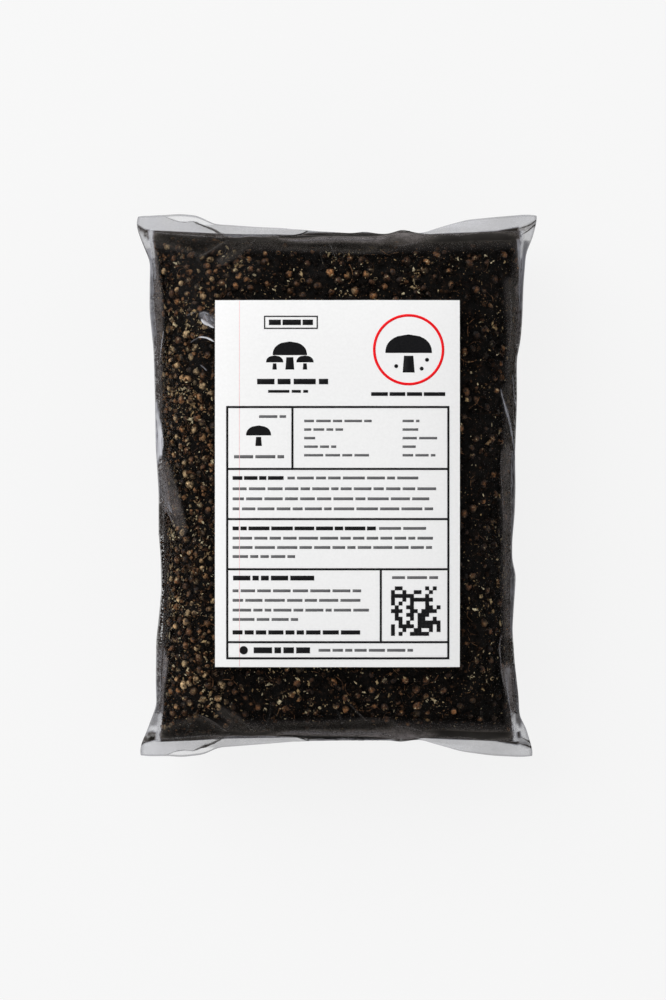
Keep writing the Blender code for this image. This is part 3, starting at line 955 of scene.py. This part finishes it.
def film_finish():
    """Clear, with a soft gloss, and a grey, cloudy milkiness where the attributes say, whose greys also
    carry painted shade and painted highlights. Where the fold is packed it takes coir's colour, for
    coir packed into the fold and for painted shade under it."""
    made, tree, shader = new_finish("clear film", 0.5, 0.0)
    haze, pale, free, packed = (value_of(tree, name) for name in ("haze", "pale", "free", "packed"))
    uneven = add_node(tree, "MapRange", Value=own_noise(tree, 620.0, 4.0, 0.65),
                      From_Min=0.3, From_Max=0.7, To_Min=0.60, To_Max=1.25)
    dusty = add_node(tree, "MapRange", Value=pale, From_Min=0.12, From_Max=0.26, To_Min=1.0, To_Max=0.10)
    cloudiness = mix(tree, dusty.outputs[0], 1.0, uneven.outputs[0], "FLOAT")
    veil = calculate(tree, "MULTIPLY", haze, cloudiness, use_clamp=True)
    tint = add_ramp(tree, pale, [
        (0.0, (0.0, 0.0, 0.0)),
        (0.05, (0.056, 0.050, 0.045)),
        (0.13, (0.138, 0.124, 0.124)),
        (0.20, (0.196, 0.193, 0.208)),
        (0.36, (0.345, 0.348, 0.385)),
        (1.0, (0.95, 0.96, 1.0)),
    ])
    coir_colour = add_ramp(tree, own_noise(tree, 430.0, 6.0, 0.62, 0.4), [
        (0.38, (0.006, 0.005, 0.004)),
        (0.52, (0.020, 0.013, 0.009)),
        (0.61, (0.070, 0.040, 0.022)),
        (0.68, (0.150, 0.088, 0.045)),
        (0.76, (0.300, 0.210, 0.120)),
    ])
    # Coir colour under the side folds: partly coir packed there, partly painted shade.
    tree.links.new(mix(tree, packed, tint, coir_colour), shader.inputs["Base Color"])
    clear = add_node(tree, "BsdfTransparent", Color=(0.985, 0.985, 0.985, 1.0))
    gloss = add_node(tree, "BsdfGlossy", Color=(1.0, 1.0, 1.0, 1.0), Roughness=0.18)
    milky = mix_shaders(tree, veil, clear.outputs[0], shader.outputs[0])
    facing = add_node(tree, "Fresnel", IOR=1.3)
    mirrored = add_node(tree, "MapRange", Value=facing.outputs[0],
                        From_Min=0.017, From_Max=0.6, To_Min=0.0012, To_Max=0.03)
    on_walls = add_node(tree, "MapRange", Value=free, To_Max=0.009)
    shine = calculate(tree, "ADD", mirrored.outputs[0], on_walls.outputs[0])
    glossy = mix_shaders(tree, shine, milky, gloss.outputs[0])
    tree.links.new(glossy, tree.nodes["Material Output"].inputs["Surface"])
    return made


film_clear = film_finish()
film = piece_from(film_mesh, "bag_film", film_clear)
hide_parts("bag_film_front", "bag_film_back")

# The dust in the side folds
# Fine coir that has been squeezed out of the block and lies caught between the two walls of the
# film, all along both side folds. It makes them look brown and speckled.

dust_count, dust_reach, dust_margin = 8000, 0.094, 0.0006
dust_size, dust_height = (0.00030, 0.0009), 0.00018
off_film = 0.00002
lowest = -0.00012  # just clear of the table
film_tree = BVHTree.FromObject(film, bpy.context.evaluated_depsgraph_get())


def pressed_on(plan, lift, from_above=True):
    """Places on the film that show at these points of the front's plane, or under them on the back."""
    placed = []
    for (x, y), high in zip(plan * mm, lift):
        if from_above:
            start = camera_place
            ray = Vector((x, y, thickness)) - start
        else:
            start = Vector((x, y, -0.1))
            ray = Vector((0, 0, 1))
        spot, normal, _, _ = film_tree.ray_cast(start, ray)
        if spot is None:
            spot, normal, _, _ = film_tree.find_nearest(Vector((x, y, seam_height)))
        if normal.dot(ray) > 0:
            normal = -normal
        placed.append(spot + normal * (high + off_film))
    placed = np.array(placed)
    placed[:, 2] = np.maximum(placed[:, 2], lowest)
    return placed


dice = np.random.default_rng(71)
dust_y = dice.uniform(-dust_reach, dust_reach, dust_count)
dust_side = dice.choice((-1.0, 1.0), dust_count)
fold_edge = np.where(dust_side < 0, on_outline(left_outline, dust_y), on_outline(right_outline, dust_y))
fold_edge -= dust_margin
dust_x = dust_side * (fold_edge - dice.beta(0.9, 1.3, dust_count) * (fold_edge - half_width(dust_y) + 0.0012))
dust_spots = np.stack([dust_x, dust_y, np.full(dust_count, seam_height)], axis=1)
dust_spots = pressed_on(seen_on_front(dust_spots), np.full(dust_count, -layer_gap))
dust_normals = np.tile((0.0, 0.0, 1.0), (dust_count, 1))
dust_sizes = mixed_sizes(dust_size, dust_count, dice)
dust_sizes[:, 2] = dust_height
strew(
    "fold_dust", template(cube_form, chipped, 12, 72),
    dust_spots, dust_normals, np.zeros(dust_count), turned_to(dust_normals, dice), dust_sizes,
    dice.beta(1.3, 2.0, dust_count) + 0.7 * (dice.random(dust_count) < 0.05), pith, smooth=False)

# The creases in the film
# Sharp ridges where the film is pinched between its folds, in the same film. Each is a narrow
# tent, tapered to both ends, that stands on the surface of the bag. Its haze is partly the stacked,
# whitened film of the fold and partly painted light: a painted highlight along the pale creases and
# painted shade along the dark ones.

crease_step = 0.7  # mm
crease_rise = (0.0, 0.8, 1.0, 0.6, 0.3, 0.0)  # across a crease
# Haze across a crease: sharp on one side and fading on the other, the shape of a painted fold highlight.
crease_veil = (0.10, 1.0, 1.0, 0.62, 0.28, 0.0)
crease_wall = 0.00003
crease_dice = np.random.default_rng(66)


def uneven(along, past, spacing, low, high):
    """Random values between low and high for each place along a crease, joined by straight lines."""
    stops = np.arange(0.0, along[-1] + past, spacing)
    return np.interp(along, stops, crease_dice.uniform(low, high, len(stops)))


def thicken(piece, wall):
    """Gives a sheet its thickness, inwards from its face."""
    solid = piece.modifiers.new("wall", "SOLIDIFY")
    solid.thickness = wall
    solid.offset = -1.0


def add_crease(bm, points, width, veil, tone):
    """A strip along the points, with its lift as z. It is sharp on one side and fades on the other."""
    points = np.array(points, float)
    lengths = np.concatenate([[0.0], np.cumsum(np.linalg.norm(np.diff(points, axis=0), axis=1))])
    steps = max(6, round(lengths[-1] / crease_step))
    along = np.linspace(0.0, lengths[-1], steps + 1)
    line = np.stack([np.interp(along, lengths, points[:, k]) for k in (0, 1)], axis=1)
    for _ in range(3):
        line[1:-1] = 0.25 * line[:-2] + 0.5 * line[1:-1] + 0.25 * line[2:]
    across = np.gradient(line, axis=0)[:, ::-1] * (-1.0, 1.0)
    across /= np.linalg.norm(across, axis=1)[:, None]
    share = np.clip(along / lengths[-1], 0.0, 1.0)
    taper = 0.10 + 0.90 * (4 * share * (1 - share)) ** 0.6
    half = 0.62 * width * uneven(along, 3.0, 1.5, 0.55, 1.30) * taper
    ends = np.clip(6.0 * np.minimum(share, 1.0 - share), 0.0, 1.0)
    # Pale creases are broken into painted glints along their length.
    if tone > 0.1:
        ends *= uneven(along, 2.0, 0.9, 0.45, 1.15)
    made = bmesh.ops.create_grid(bm, x_segments=steps, y_segments=len(crease_veil) - 1, size=1.0)
    haze_layer, pale_layer = bm.verts.layers.float["haze"], bm.verts.layers.float["pale"]
    for vertex in made["verts"]:
        k = round((vertex.co.x + 1) / 2 * steps)
        column = round((vertex.co.y + 1) / 2 * (len(crease_veil) - 1))
        x, y = line[k] + across[k] * half[k] * vertex.co.y
        vertex.co = (x, y, 0.35 * half[k] * crease_rise[column])
        vertex[haze_layer] = veil * crease_veil[column] * (0.35 + 0.65 * ends[k])
        vertex[pale_layer] = tone


def crease_piece(name, creases, from_above=True):
    """Creases are (points in mm, width in mm, haze, paleness)."""
    bm = bmesh.new()
    for layer in ("haze", "pale"):
        bm.verts.layers.float.new(layer)
    for points, width, veil, tone in creases:
        add_crease(bm, points, width, veil, tone)
    mesh = mesh_of(bm, name)
    flat = read_vectors(mesh.vertices, "co")
    pressed = pressed_on(flat[:, :2], flat[:, 2] * mm, from_above)
    write_places(mesh, pressed)
    down_walls = smooth_step(pressed[:, 2], 0.0275, 0.030) * fading(pressed[:, 2], 0.043, 0.052)
    hazes = np.empty(len(mesh.vertices), np.float32)
    mesh.attributes["haze"].data.foreach_get("value", hazes)
    hazes = (hazes * (1.0 - 0.45 * down_walls)).astype(np.float32)
    mesh.attributes["haze"].data.foreach_set("value", hazes)
    up = sum(polygon.normal.z * polygon.area for polygon in mesh.polygons)
    if (up > 0) != from_above:
        mesh.flip_normals()
    thicken(piece_from(mesh, name, film_clear), crease_wall)


end_creases = [
    ([(-58.8, 108.2), (-54.7, 106.4), (-51.0, 105.2), (-48.6, 103.8), (-45.6, 101.8), (-43.3, 101.3)],
     1.1, 0.88, 0.060),
    ([(-71, 110.4), (-68.6, 109.4), (-65.6, 108.2), (-62.2, 107.8), (-58.8, 108.2), (-56.5, 107.4)],
     0.35, 0.55, 0.22),
    ([(-82.3, 107.5), (-82.2, 105.5), (-80.9, 102.0), (-78.2, 96.5), (-76.0, 92.2)], 0.5, 0.60, 0.110),
    ([(-82.2, 107.4), (-80.4, 105.6), (-78.0, 104.5)], 0.9, 0.60, 0.080),
    ([(-11.2, 104.6), (-13.8, 103.2), (-17.2, 102.2), (-22.1, 101.9), (-25.3, 102.7)], 0.8, 1.50, 0.012),
    ([(-25.2, 101.6), (-22.1, 100.9), (-17.6, 100.3), (-12.3, 100.5), (-5.6, 100.9), (-0.3, 101.1),
      (4.3, 101.0), (9.9, 100.8), (17.6, 100.9), (22.5, 102.0)], 1.1, 0.80, 0.150),
    ([(22.9, 103.6), (27.3, 105.0), (32.6, 103.3), (38.6, 101.3)], 0.5, 0.80, 0.055),
    ([(38.6, 101.3), (33.0, 99.6), (28.0, 98.4), (22.9, 98.0)], 0.6, 0.50, 0.100),
    ([(82.0, 109.1), (78.9, 106.6), (76.5, 105.7), (74.3, 105.2)], 0.55, 0.90, 0.050),
    ([(82.2, 107.9), (77.9, 104.0), (74.6, 102.3)], 0.45, 0.90, 0.045),
    ([(-43.9, 100.8), (-49.0, 97.6), (-54.7, 94.2), (-57.2, 93.5)], 0.9, 0.62, 0.060),
    ([(-32.6, 101.1), (-38.4, 96.7), (-46.6, 90.9)], 0.8, 0.50, 0.050),
    ([(-77.6, 104.3), (-72.7, 103.4), (-66.6, 102.9), (-54.1, 102.1), (-45.0, 101.4)], 0.5, 0.55, 0.150),
    ([(38.4, 101.6), (42.2, 102.7), (50.4, 102.5), (58.1, 103.6), (64.9, 104.0), (73.6, 105.5)],
     0.5, 0.60, 0.100),
    ([(-12.0, 104.6), (-4.0, 104.0), (4.0, 104.1), (12.0, 103.8), (22.0, 103.9)], 0.5, 0.50, 0.26),
]
side_creases = [
    ([(-70.8, 63.7), (-71.6, 58.0), (-72.3, 52.0)], 0.45, 0.80, 0.42),
    ([(-75.4, 96.0), (-75.0, 88.0), (-75.6, 80.0)], 0.6, 0.45, 0.34),
    ([(-73.0, 30.2), (-72.5, 27.0), (-71.8, 23.7), (-71.3, 20.4), (-71.0, 17.2), (-71.6, 13.4)],
     0.6, 0.90, 0.66),
    ([(-73.9, 28.0), (-73.4, 22.0), (-73.3, 15.6)], 0.5, 0.60, 0.36),
    ([(-70.4, 12.0), (-67.5, 4.0), (-65.0, -3.0), (-61.6, -17.5)], 0.5, 0.80, 0.050),
    ([(-69.0, -5.7), (-68.4, -8.5), (-67.2, -11.4)], 0.9, 0.70, 0.26),
    ([(-72.9, 5.0), (-71.0, -4.0), (-68.4, -12.0), (-66.2, -17.0)], 0.7, 0.60, 0.16),
    ([(-72.4, -24.0), (-71.9, -31.0), (-72.2, -38.0)], 0.5, 0.40, 0.14),
    ([(-72.4, -74.0), (-71.9, -82.0), (-72.4, -90.0)], 0.6, 0.50, 0.24),
    ([(66.9, 40.2), (67.5, 37.0), (68.8, 32.6), (70.8, 25.7), (72.2, 17.0), (72.8, 10.6)], 1.0, 0.88, 0.33),
    ([(71.6, 46.5), (72.1, 42.0), (72.8, 34.0), (73.4, 30.0)], 0.7, 0.70, 0.24),
    ([(67.2, 14.2), (67.0, 6.0), (67.8, -6.0), (68.4, -22.0)], 0.45, 0.70, 0.110),
    ([(71.5, 12.0), (72.4, 2.0), (71.4, -8.0)], 0.6, 0.50, 0.130),
    ([(67.2, -60.0), (66.4, -66.0), (67.4, -76.0), (69.4, -86.0)], 0.8, 0.65, 0.150),
    ([(68.7, -75.4), (70.0, -86.0), (71.6, -95.0), (72.8, -103.0)], 0.6, 0.80, 0.30),
    ([(72.4, -71.0), (73.2, -84.0), (73.8, -96.0)], 0.5, 0.80, 0.26),
    ([(74.4, 101.5), (74.8, 92.0), (74.4, 80.0), (75.0, 71.0)], 0.6, 0.70, 0.28),
    ([(70.2, 82.0), (71.3, 74.0), (71.0, 64.0), (70.2, 54.0)], 0.7, 0.55, 0.085),
    # The crinkle beside the label, with its bright painted highlight
    ([(-61.7, 69.5), (-59.2, 70.7), (-56.8, 71.5)], 0.6, 0.35, 0.16),
    ([(-56.4, 70.0), (-55.1, 71.1), (-53.3, 70.9), (-51.8, 70.0)], 0.9, 0.50, 0.33),
    ([(-54.1, 70.3), (-53.3, 68.7), (-52.5, 67.0)], 0.9, 0.62, 0.42),
    ([(-55.6, 68.4), (-54.4, 67.0), (-52.7, 66.2), (-50.0, 64.6)], 1.3, 0.90, 0.72),
    ([(-51.8, 69.2), (-50.8, 67.8), (-50.0, 66.9)], 0.8, 0.50, 0.30),
    ([(-56.8, 60.8), (-55.1, 61.0), (-53.1, 60.7), (-51.5, 59.9), (-49.8, 58.8)], 1.0, 0.95, 0.74),
    ([(-60.0, 58.6), (-58.4, 59.8), (-56.2, 60.8)], 0.6, 0.35, 0.20),
    ([(-56.0, 49.6), (-54.4, 48.6), (-53.0, 47.0)], 0.7, 0.45, 0.28),
]
for flip in (-1.0, 1.0):
    side_creases += [
        ([(x, flip * y) for x, y in points], *rest) for points, *rest in end_creases
    ]
dice = np.random.default_rng(65)


def small_creases(count_end, count_side):
    """Crinkles drawn in from each seal and along the side folds."""
    made = []
    for flip in (-1.0, 1.0):
        for x in dice.uniform(-68, 68, count_end):
            fan = math.radians(-0.45 * x + dice.normal(0, 16))
            length = 3 + 14 * dice.beta(1.5, 3)
            y = 101.5 - dice.uniform(0, 5)
            far = (x + math.sin(fan) * length + dice.normal(0, 0.6), y - math.cos(fan) * length)
            bow = ((x + far[0]) / 2 + dice.normal(0, 0.05) * length, (y + far[1]) / 2)
            made.append(([(x, flip * y), (bow[0], flip * bow[1]), (far[0], flip * far[1])],
                         dice.uniform(0.3, 0.8), dice.uniform(0.10, 0.35), dice.uniform(0.02, 0.07)))
        for y in dice.uniform(-95, 95, count_side):
            lean, length = dice.normal(0, 0.16), 4 + 18 * dice.beta(1.3, 3)
            x = flip * dice.uniform(64.5, 71.5)
            bow = dice.normal(0, 0.06) * length
            middle = (x + lean * length / 2 + bow, y - length / 2)
            made.append(([(x, y), middle, (x + lean * length, y - length)],
                         dice.uniform(0.3, 0.8), dice.uniform(0.15, 0.6), dice.uniform(0.04, 0.16)))
    return made


crease_piece("front_creases", side_creases + small_creases(8, 0))
crease_piece("back_creases", small_creases(34, 26), from_above=False)

# The label
# A white paper sticker, pressed on to the front of the filled bag, so that it follows its curve.
# The printing is a ruled form in black, filled with plain bars, with one red ring.

label_cells = (60, 90)
label_wall, paper_gap = 0.0002, 0.0002


def label_height(x, y):
    """Height of the film under the label."""
    p = x / half_width(y)
    return front_height(p, y / half_length(p))


def on_label(x, y, raised):
    step = 0.0004
    slope_x = (label_height(x + step, y) - label_height(x - step, y)) / (2 * step)
    slope_y = (label_height(x, y + step) - label_height(x, y - step)) / (2 * step)
    normals = np.stack([-slope_x, -slope_y, np.ones_like(x)], axis=1)
    normals /= np.linalg.norm(normals, axis=1)[:, None]
    base = np.stack([x, y, label_height(x, y)], axis=1)
    return base + normals * np.asarray(raised)[..., None]


def paper_finish():
    made, tree, shader = new_finish("label paper", 0.5, 0.35)
    fibres = own_noise(tree, 900.0, 4.0)
    colour = add_ramp(tree, fibres, [(0.3, (0.945, 0.945, 0.945)), (0.7, (0.985, 0.985, 0.985))])
    tree.links.new(colour, shader.inputs["Base Color"])
    add_bump(tree, shader, fibres, 0.06, 0.0002)
    return made


label_mesh = double_grid(label_cells, share_edge=False)
grid_places = read_vectors(label_mesh.vertices, "co")
label_x = label_shift[0] + (grid_places[:, 0] / label_cells[0] * 2 - 1) * label_half[0]
label_y = label_shift[1] + (grid_places[:, 1] / label_cells[1] * 2 - 1) * label_half[1]
write_places(label_mesh, on_label(label_x, label_y, paper_gap + label_wall * grid_places[:, 2]))
label_mesh.set_sharp_from_angle(angle=math.radians(40))
label = piece_from(label_mesh, "label_paper", paper_finish())
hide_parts("label")

ink_raise, ink_wall = 0.00003, 0.00005
ink_cell = 2.4  # mm


def ink_patch(bm, place, columns, rows):
    """A patch of ink: a grid with each corner moved to place(across, down), in mm from the label's corner."""
    made = bmesh.ops.create_grid(bm, x_segments=columns, y_segments=rows, size=1.0)
    for vertex in made["verts"]:
        u, v = place(vertex.co.x, vertex.co.y)
        vertex.co = (u, v, 0.0)


def bar(bm, left, top, right, bottom):
    width, height = right - left, bottom - top
    ink_patch(bm, lambda s, t: (left + (s + 1) / 2 * width, top + (t + 1) / 2 * height),
              max(1, math.ceil(width / ink_cell)), max(1, math.ceil(height / ink_cell)))


def box_lines(bm, left, top, right, bottom, line):
    bar(bm, left, top, right, top + line)
    bar(bm, left, bottom - line, right, bottom)
    bar(bm, left, top + line, left + line, bottom - line)
    bar(bm, right - line, top + line, right, bottom - line)


def dot(bm, u, v, radius, cells):
    def place(s, t):
        return u + s * math.sqrt(1 - t * t / 2) * radius, v + t * math.sqrt(1 - s * s / 2) * radius
    ink_patch(bm, place, cells, cells)


def ring(bm, u, v, radius, line, cells):
    def place(s, t):
        around, reach = math.pi * s, radius - line / 2 + t * line / 2
        return u + reach * math.cos(around), v + reach * math.sin(around)
    ink_patch(bm, place, cells, 1)


def mushroom(bm, u, v, size):
    """A plain cap and stem, with its foot at v."""
    def cap(s, t):
        height = (t + 1) / 2
        return u + s * size * 0.5 * math.sqrt(max(0.0, 1 - height**2.4)), v - size * (0.42 + 0.40 * height)

    def stem(s, t):
        height = (t + 1) / 2
        return u + s * size * (0.13 - 0.03 * height), v - size * 0.36 * height
    ink_patch(bm, cap, 28, 10)
    ink_patch(bm, stem, 2, 6)


def dashes(bm, left, right, middle, height, dice, gap=0.9):
    """A line of bars of random lengths, from left to right."""
    at = left
    while at < right - 1.2:
        length = min(dice.uniform(2.4, 9.0), right - at)
        if right - at - length < 2.2:
            length = right - at
        bar(bm, at, middle - height / 2, at + length, middle + height / 2)
        at += length + gap


def ink_finish(name, colour):
    made, tree, shader = new_finish(name, 0.5, 0.08)
    lighter = tuple(min(1.0, part * 1.15 + 0.004) for part in colour)
    patchy = add_ramp(tree, own_noise(tree, 1500.0, 2.0), [(0.3, colour), (0.7, lighter)])
    tree.links.new(patchy, shader.inputs["Base Color"])
    return made


def print_on_label(name, bm, finish):
    """Lays the flat patches, in mm from the label's upper left corner, on to the paper."""
    mesh = mesh_of(bm, name)
    flat = read_vectors(mesh.vertices, "co")
    x = label_shift[0] - label_half[0] + flat[:, 0] * mm
    y = label_shift[1] + label_half[1] - flat[:, 1] * mm
    write_places(mesh, on_label(x, y, np.full(len(x), paper_gap + label_wall + ink_raise)))
    if sum(polygon.normal.z for polygon in mesh.polygons) < 0:
        mesh.flip_normals()
    thicken(piece_from(mesh, name, finish), ink_wall)


dice = np.random.default_rng(61)
rule = 0.85
form_left, form_right = 5.0, 95.3
form_rules = (43.7, 69.0, 89.5, 110.0, 139.8, 146.4)
black = bmesh.new()
for level in form_rules:
    bar(black, form_left, level - rule / 2, form_right, level + rule / 2)
for edge in (form_left, form_right):
    bar(black, edge - rule / 2, form_rules[0] - rule / 2, edge + rule / 2, form_rules[-1] + rule / 2)
bar(black, 31.2, form_rules[0], 31.2 + rule, form_rules[1])
bar(black, 67.3, form_rules[3], 67.3 + rule, form_rules[4])

# Heading: framed bars, a group of mushrooms, and two centred lines
box_lines(black, 20.0, 6.4, 42.0, 11.8, 0.5)
dashes(black, 22.0, 40.0, 9.1, 2.2, dice, 0.7)
for shift, size in ((0.0, 14.0), (-6.2, 7.0), (6.2, 7.0)):
    mushroom(black, 30.55 + shift, 28.4, size)
dashes(black, 17.2, 46.2, 33.3, 2.2, dice, 1.3)
dashes(black, 21.7, 38.0, 37.3, 1.1, dice, 1.0)

# Emblem: a mushroom in the ring, and a line under it
mushroom(black, 79.1, 29.6, 19.0)
for spot_u, spot_v in ((74.0, 27.0), (84.4, 28.0), (86.6, 24.4)):
    dot(black, spot_u, spot_v, 0.8, 4)
dashes(black, 63.8, 94.0, 38.4, 1.5, dice, 0.7)

# First box: a mushroom between two lines
mushroom(black, 17.8, 59.6, 10.2)

# The boxes under it, with a scatter of cells in the last
for left, right, middle in ((7.2, 28.0, 72.7), (7.2, 65.7, 93.3)):
    dashes(black, left, right, middle, 1.5, dice, 0.7)
dashes(black, 7.4, 40.5, 113.6, 1.9, dice, 0.9)
dashes(black, 7.2, 59.3, 135.8, 1.7, dice, 0.9)
scatter_left, scatter_top, cell, cells_across = 71.9, 117.0, 1.55, 13
for row in range(cells_across):
    for column in range(cells_across):
        if dice.random() < 0.5:
            u, v = scatter_left + column * cell, scatter_top + row * cell
            bar(black, u, v, u + cell * 1.02, v + cell * 1.02)
dot(black, 11.7, 143.1, 1.7, 6)
dashes(black, 15.8, 38.8, 143.1, 2.4, dice, 1.0)
print_on_label("label_black_ink", black, ink_finish("black ink", (0.006, 0.006, 0.007)))

grey = bmesh.new()
dashes(grey, 18.0, 29.0, 47.6, 1.1, dice)
dashes(grey, 7.8, 28.2, 64.0, 1.3, dice)
for line, (left_end, right_end) in enumerate(((64, 83.5), (52.3, 83), (40.9, 90.7), (49.5, 82), (62.9, 90))):
    dashes(grey, 36.4, left_end, 49.4 + 3.5 * line, 1.0, dice)
    dashes(grey, 76.6, right_end, 49.4 + 3.5 * line, 1.0, dice)
grey_lines = (
    (29.6, 83.0, 72.7), (7.2, 90.3, 77.1), (7.2, 87.5, 81.2), (7.2, 89.1, 85.3),
    (67.0, 86.2, 93.3), (7.2, 89.0, 97.3), (7.2, 88.6, 101.1), (7.2, 32.7, 104.8),
    (7.2, 59.7, 118.8), (7.2, 59.4, 122.7), (7.2, 62.9, 126.7), (7.2, 33.9, 130.5),
    (72.3, 91.1, 113.4), (42.3, 80.9, 143.1),
)
for left, right, middle in grey_lines:
    dashes(grey, left, right, middle, 1.15, dice)
print_on_label("label_grey_ink", grey, ink_finish("grey ink", (0.13, 0.13, 0.135)))

red = bmesh.new()
ring(red, 79.1, 20.3, 14.6, 1.1, 72)
print_on_label("label_red_ink", red, ink_finish("red ink", (0.86, 0.006, 0.012)))

pink = bmesh.new()
bar(pink, 9.9, 0.3, 10.1, 149.7)
print_on_label("label_guide_line", pink, ink_finish("faint pink ink", (0.9, 0.55, 0.57)))

# The surface, the light and the camera
# A plain pale table, lit all round from low down, so that the film mirrors little light upwards.

table_tone = 0.940
table_height = -0.0002


def pale_surface():
    bm = bmesh.new()
    bmesh.ops.create_grid(bm, x_segments=1, y_segments=1, size=12.0)
    mesh = mesh_of(bm, "surface")
    mesh.transform(Matrix.Translation((0, 0, table_height)))
    made, tree, shader = new_finish("pale surface", 0.9, 0.1)
    shader.inputs["Base Color"].default_value = (*(table_tone,) * 3, 1.0)
    even = add_node(tree, "Emission", Color=(*(table_tone,) * 3, 1.0))
    camera_ray = add_node(tree, "LightPath").outputs["Is Camera Ray"]
    share = add_node(tree, "MapRange", Value=camera_ray, To_Max=0.90)
    mixed = mix_shaders(tree, share.outputs[0], shader.outputs[0], even.outputs[0])
    tree.links.new(mixed, tree.nodes["Material Output"].inputs["Surface"])
    mesh.materials.append(made)
    surface = bpy.data.objects.new("surface", mesh)
    bpy.context.scene.collection.objects.link(surface)


pale_surface()
world = bpy.data.worlds.new("studio")
world.use_nodes = True
tree = world.node_tree
direction = add_node(tree, "TexCoord").outputs["Generated"]
height = add_node(tree, "SeparateXYZ", Vector=direction).outputs["Z"]
dome = add_node(tree, "MapRange", {"interpolation_type": "SMOOTHSTEP"}, Value=height,
                From_Min=0.15, From_Max=0.9, To_Min=1.35, To_Max=0.22)
camera_ray = add_node(tree, "LightPath").outputs["Is Camera Ray"]
strength = mix(tree, camera_ray, dome.outputs[0], table_tone, "FLOAT")
backdrop = tree.nodes["Background"]
tree.links.new(strength, backdrop.inputs["Strength"])
backdrop.inputs["Color"].default_value = (1.0, 1.0, 1.0, 1.0)
bpy.context.scene.world = world

lamp_data = bpy.data.lights.new("soft lamp", "AREA")
lamp_data.shape = "SQUARE"
lamp_data.size = 1.8
lamp_data.energy = 34.0
lamp = bpy.data.objects.new("soft_lamp", lamp_data)
lamp.location = (-1.3, 1.2, 1.5)
lamp.rotation_euler = (-lamp.location).to_track_quat("-Z", "Y").to_euler()
lamp.visible_camera = False
bpy.context.scene.collection.objects.link(lamp)

camera_data = bpy.data.cameras.new("camera")
camera_data.lens = 250.0
camera_data.sensor_width = 36.0
camera_data.clip_end = 30.0
camera = bpy.data.objects.new("camera", camera_data)
camera.location = camera_place
bpy.context.scene.collection.objects.link(camera)
bpy.context.scene.camera = camera
bpy.context.scene.view_settings.view_transform = "Standard"
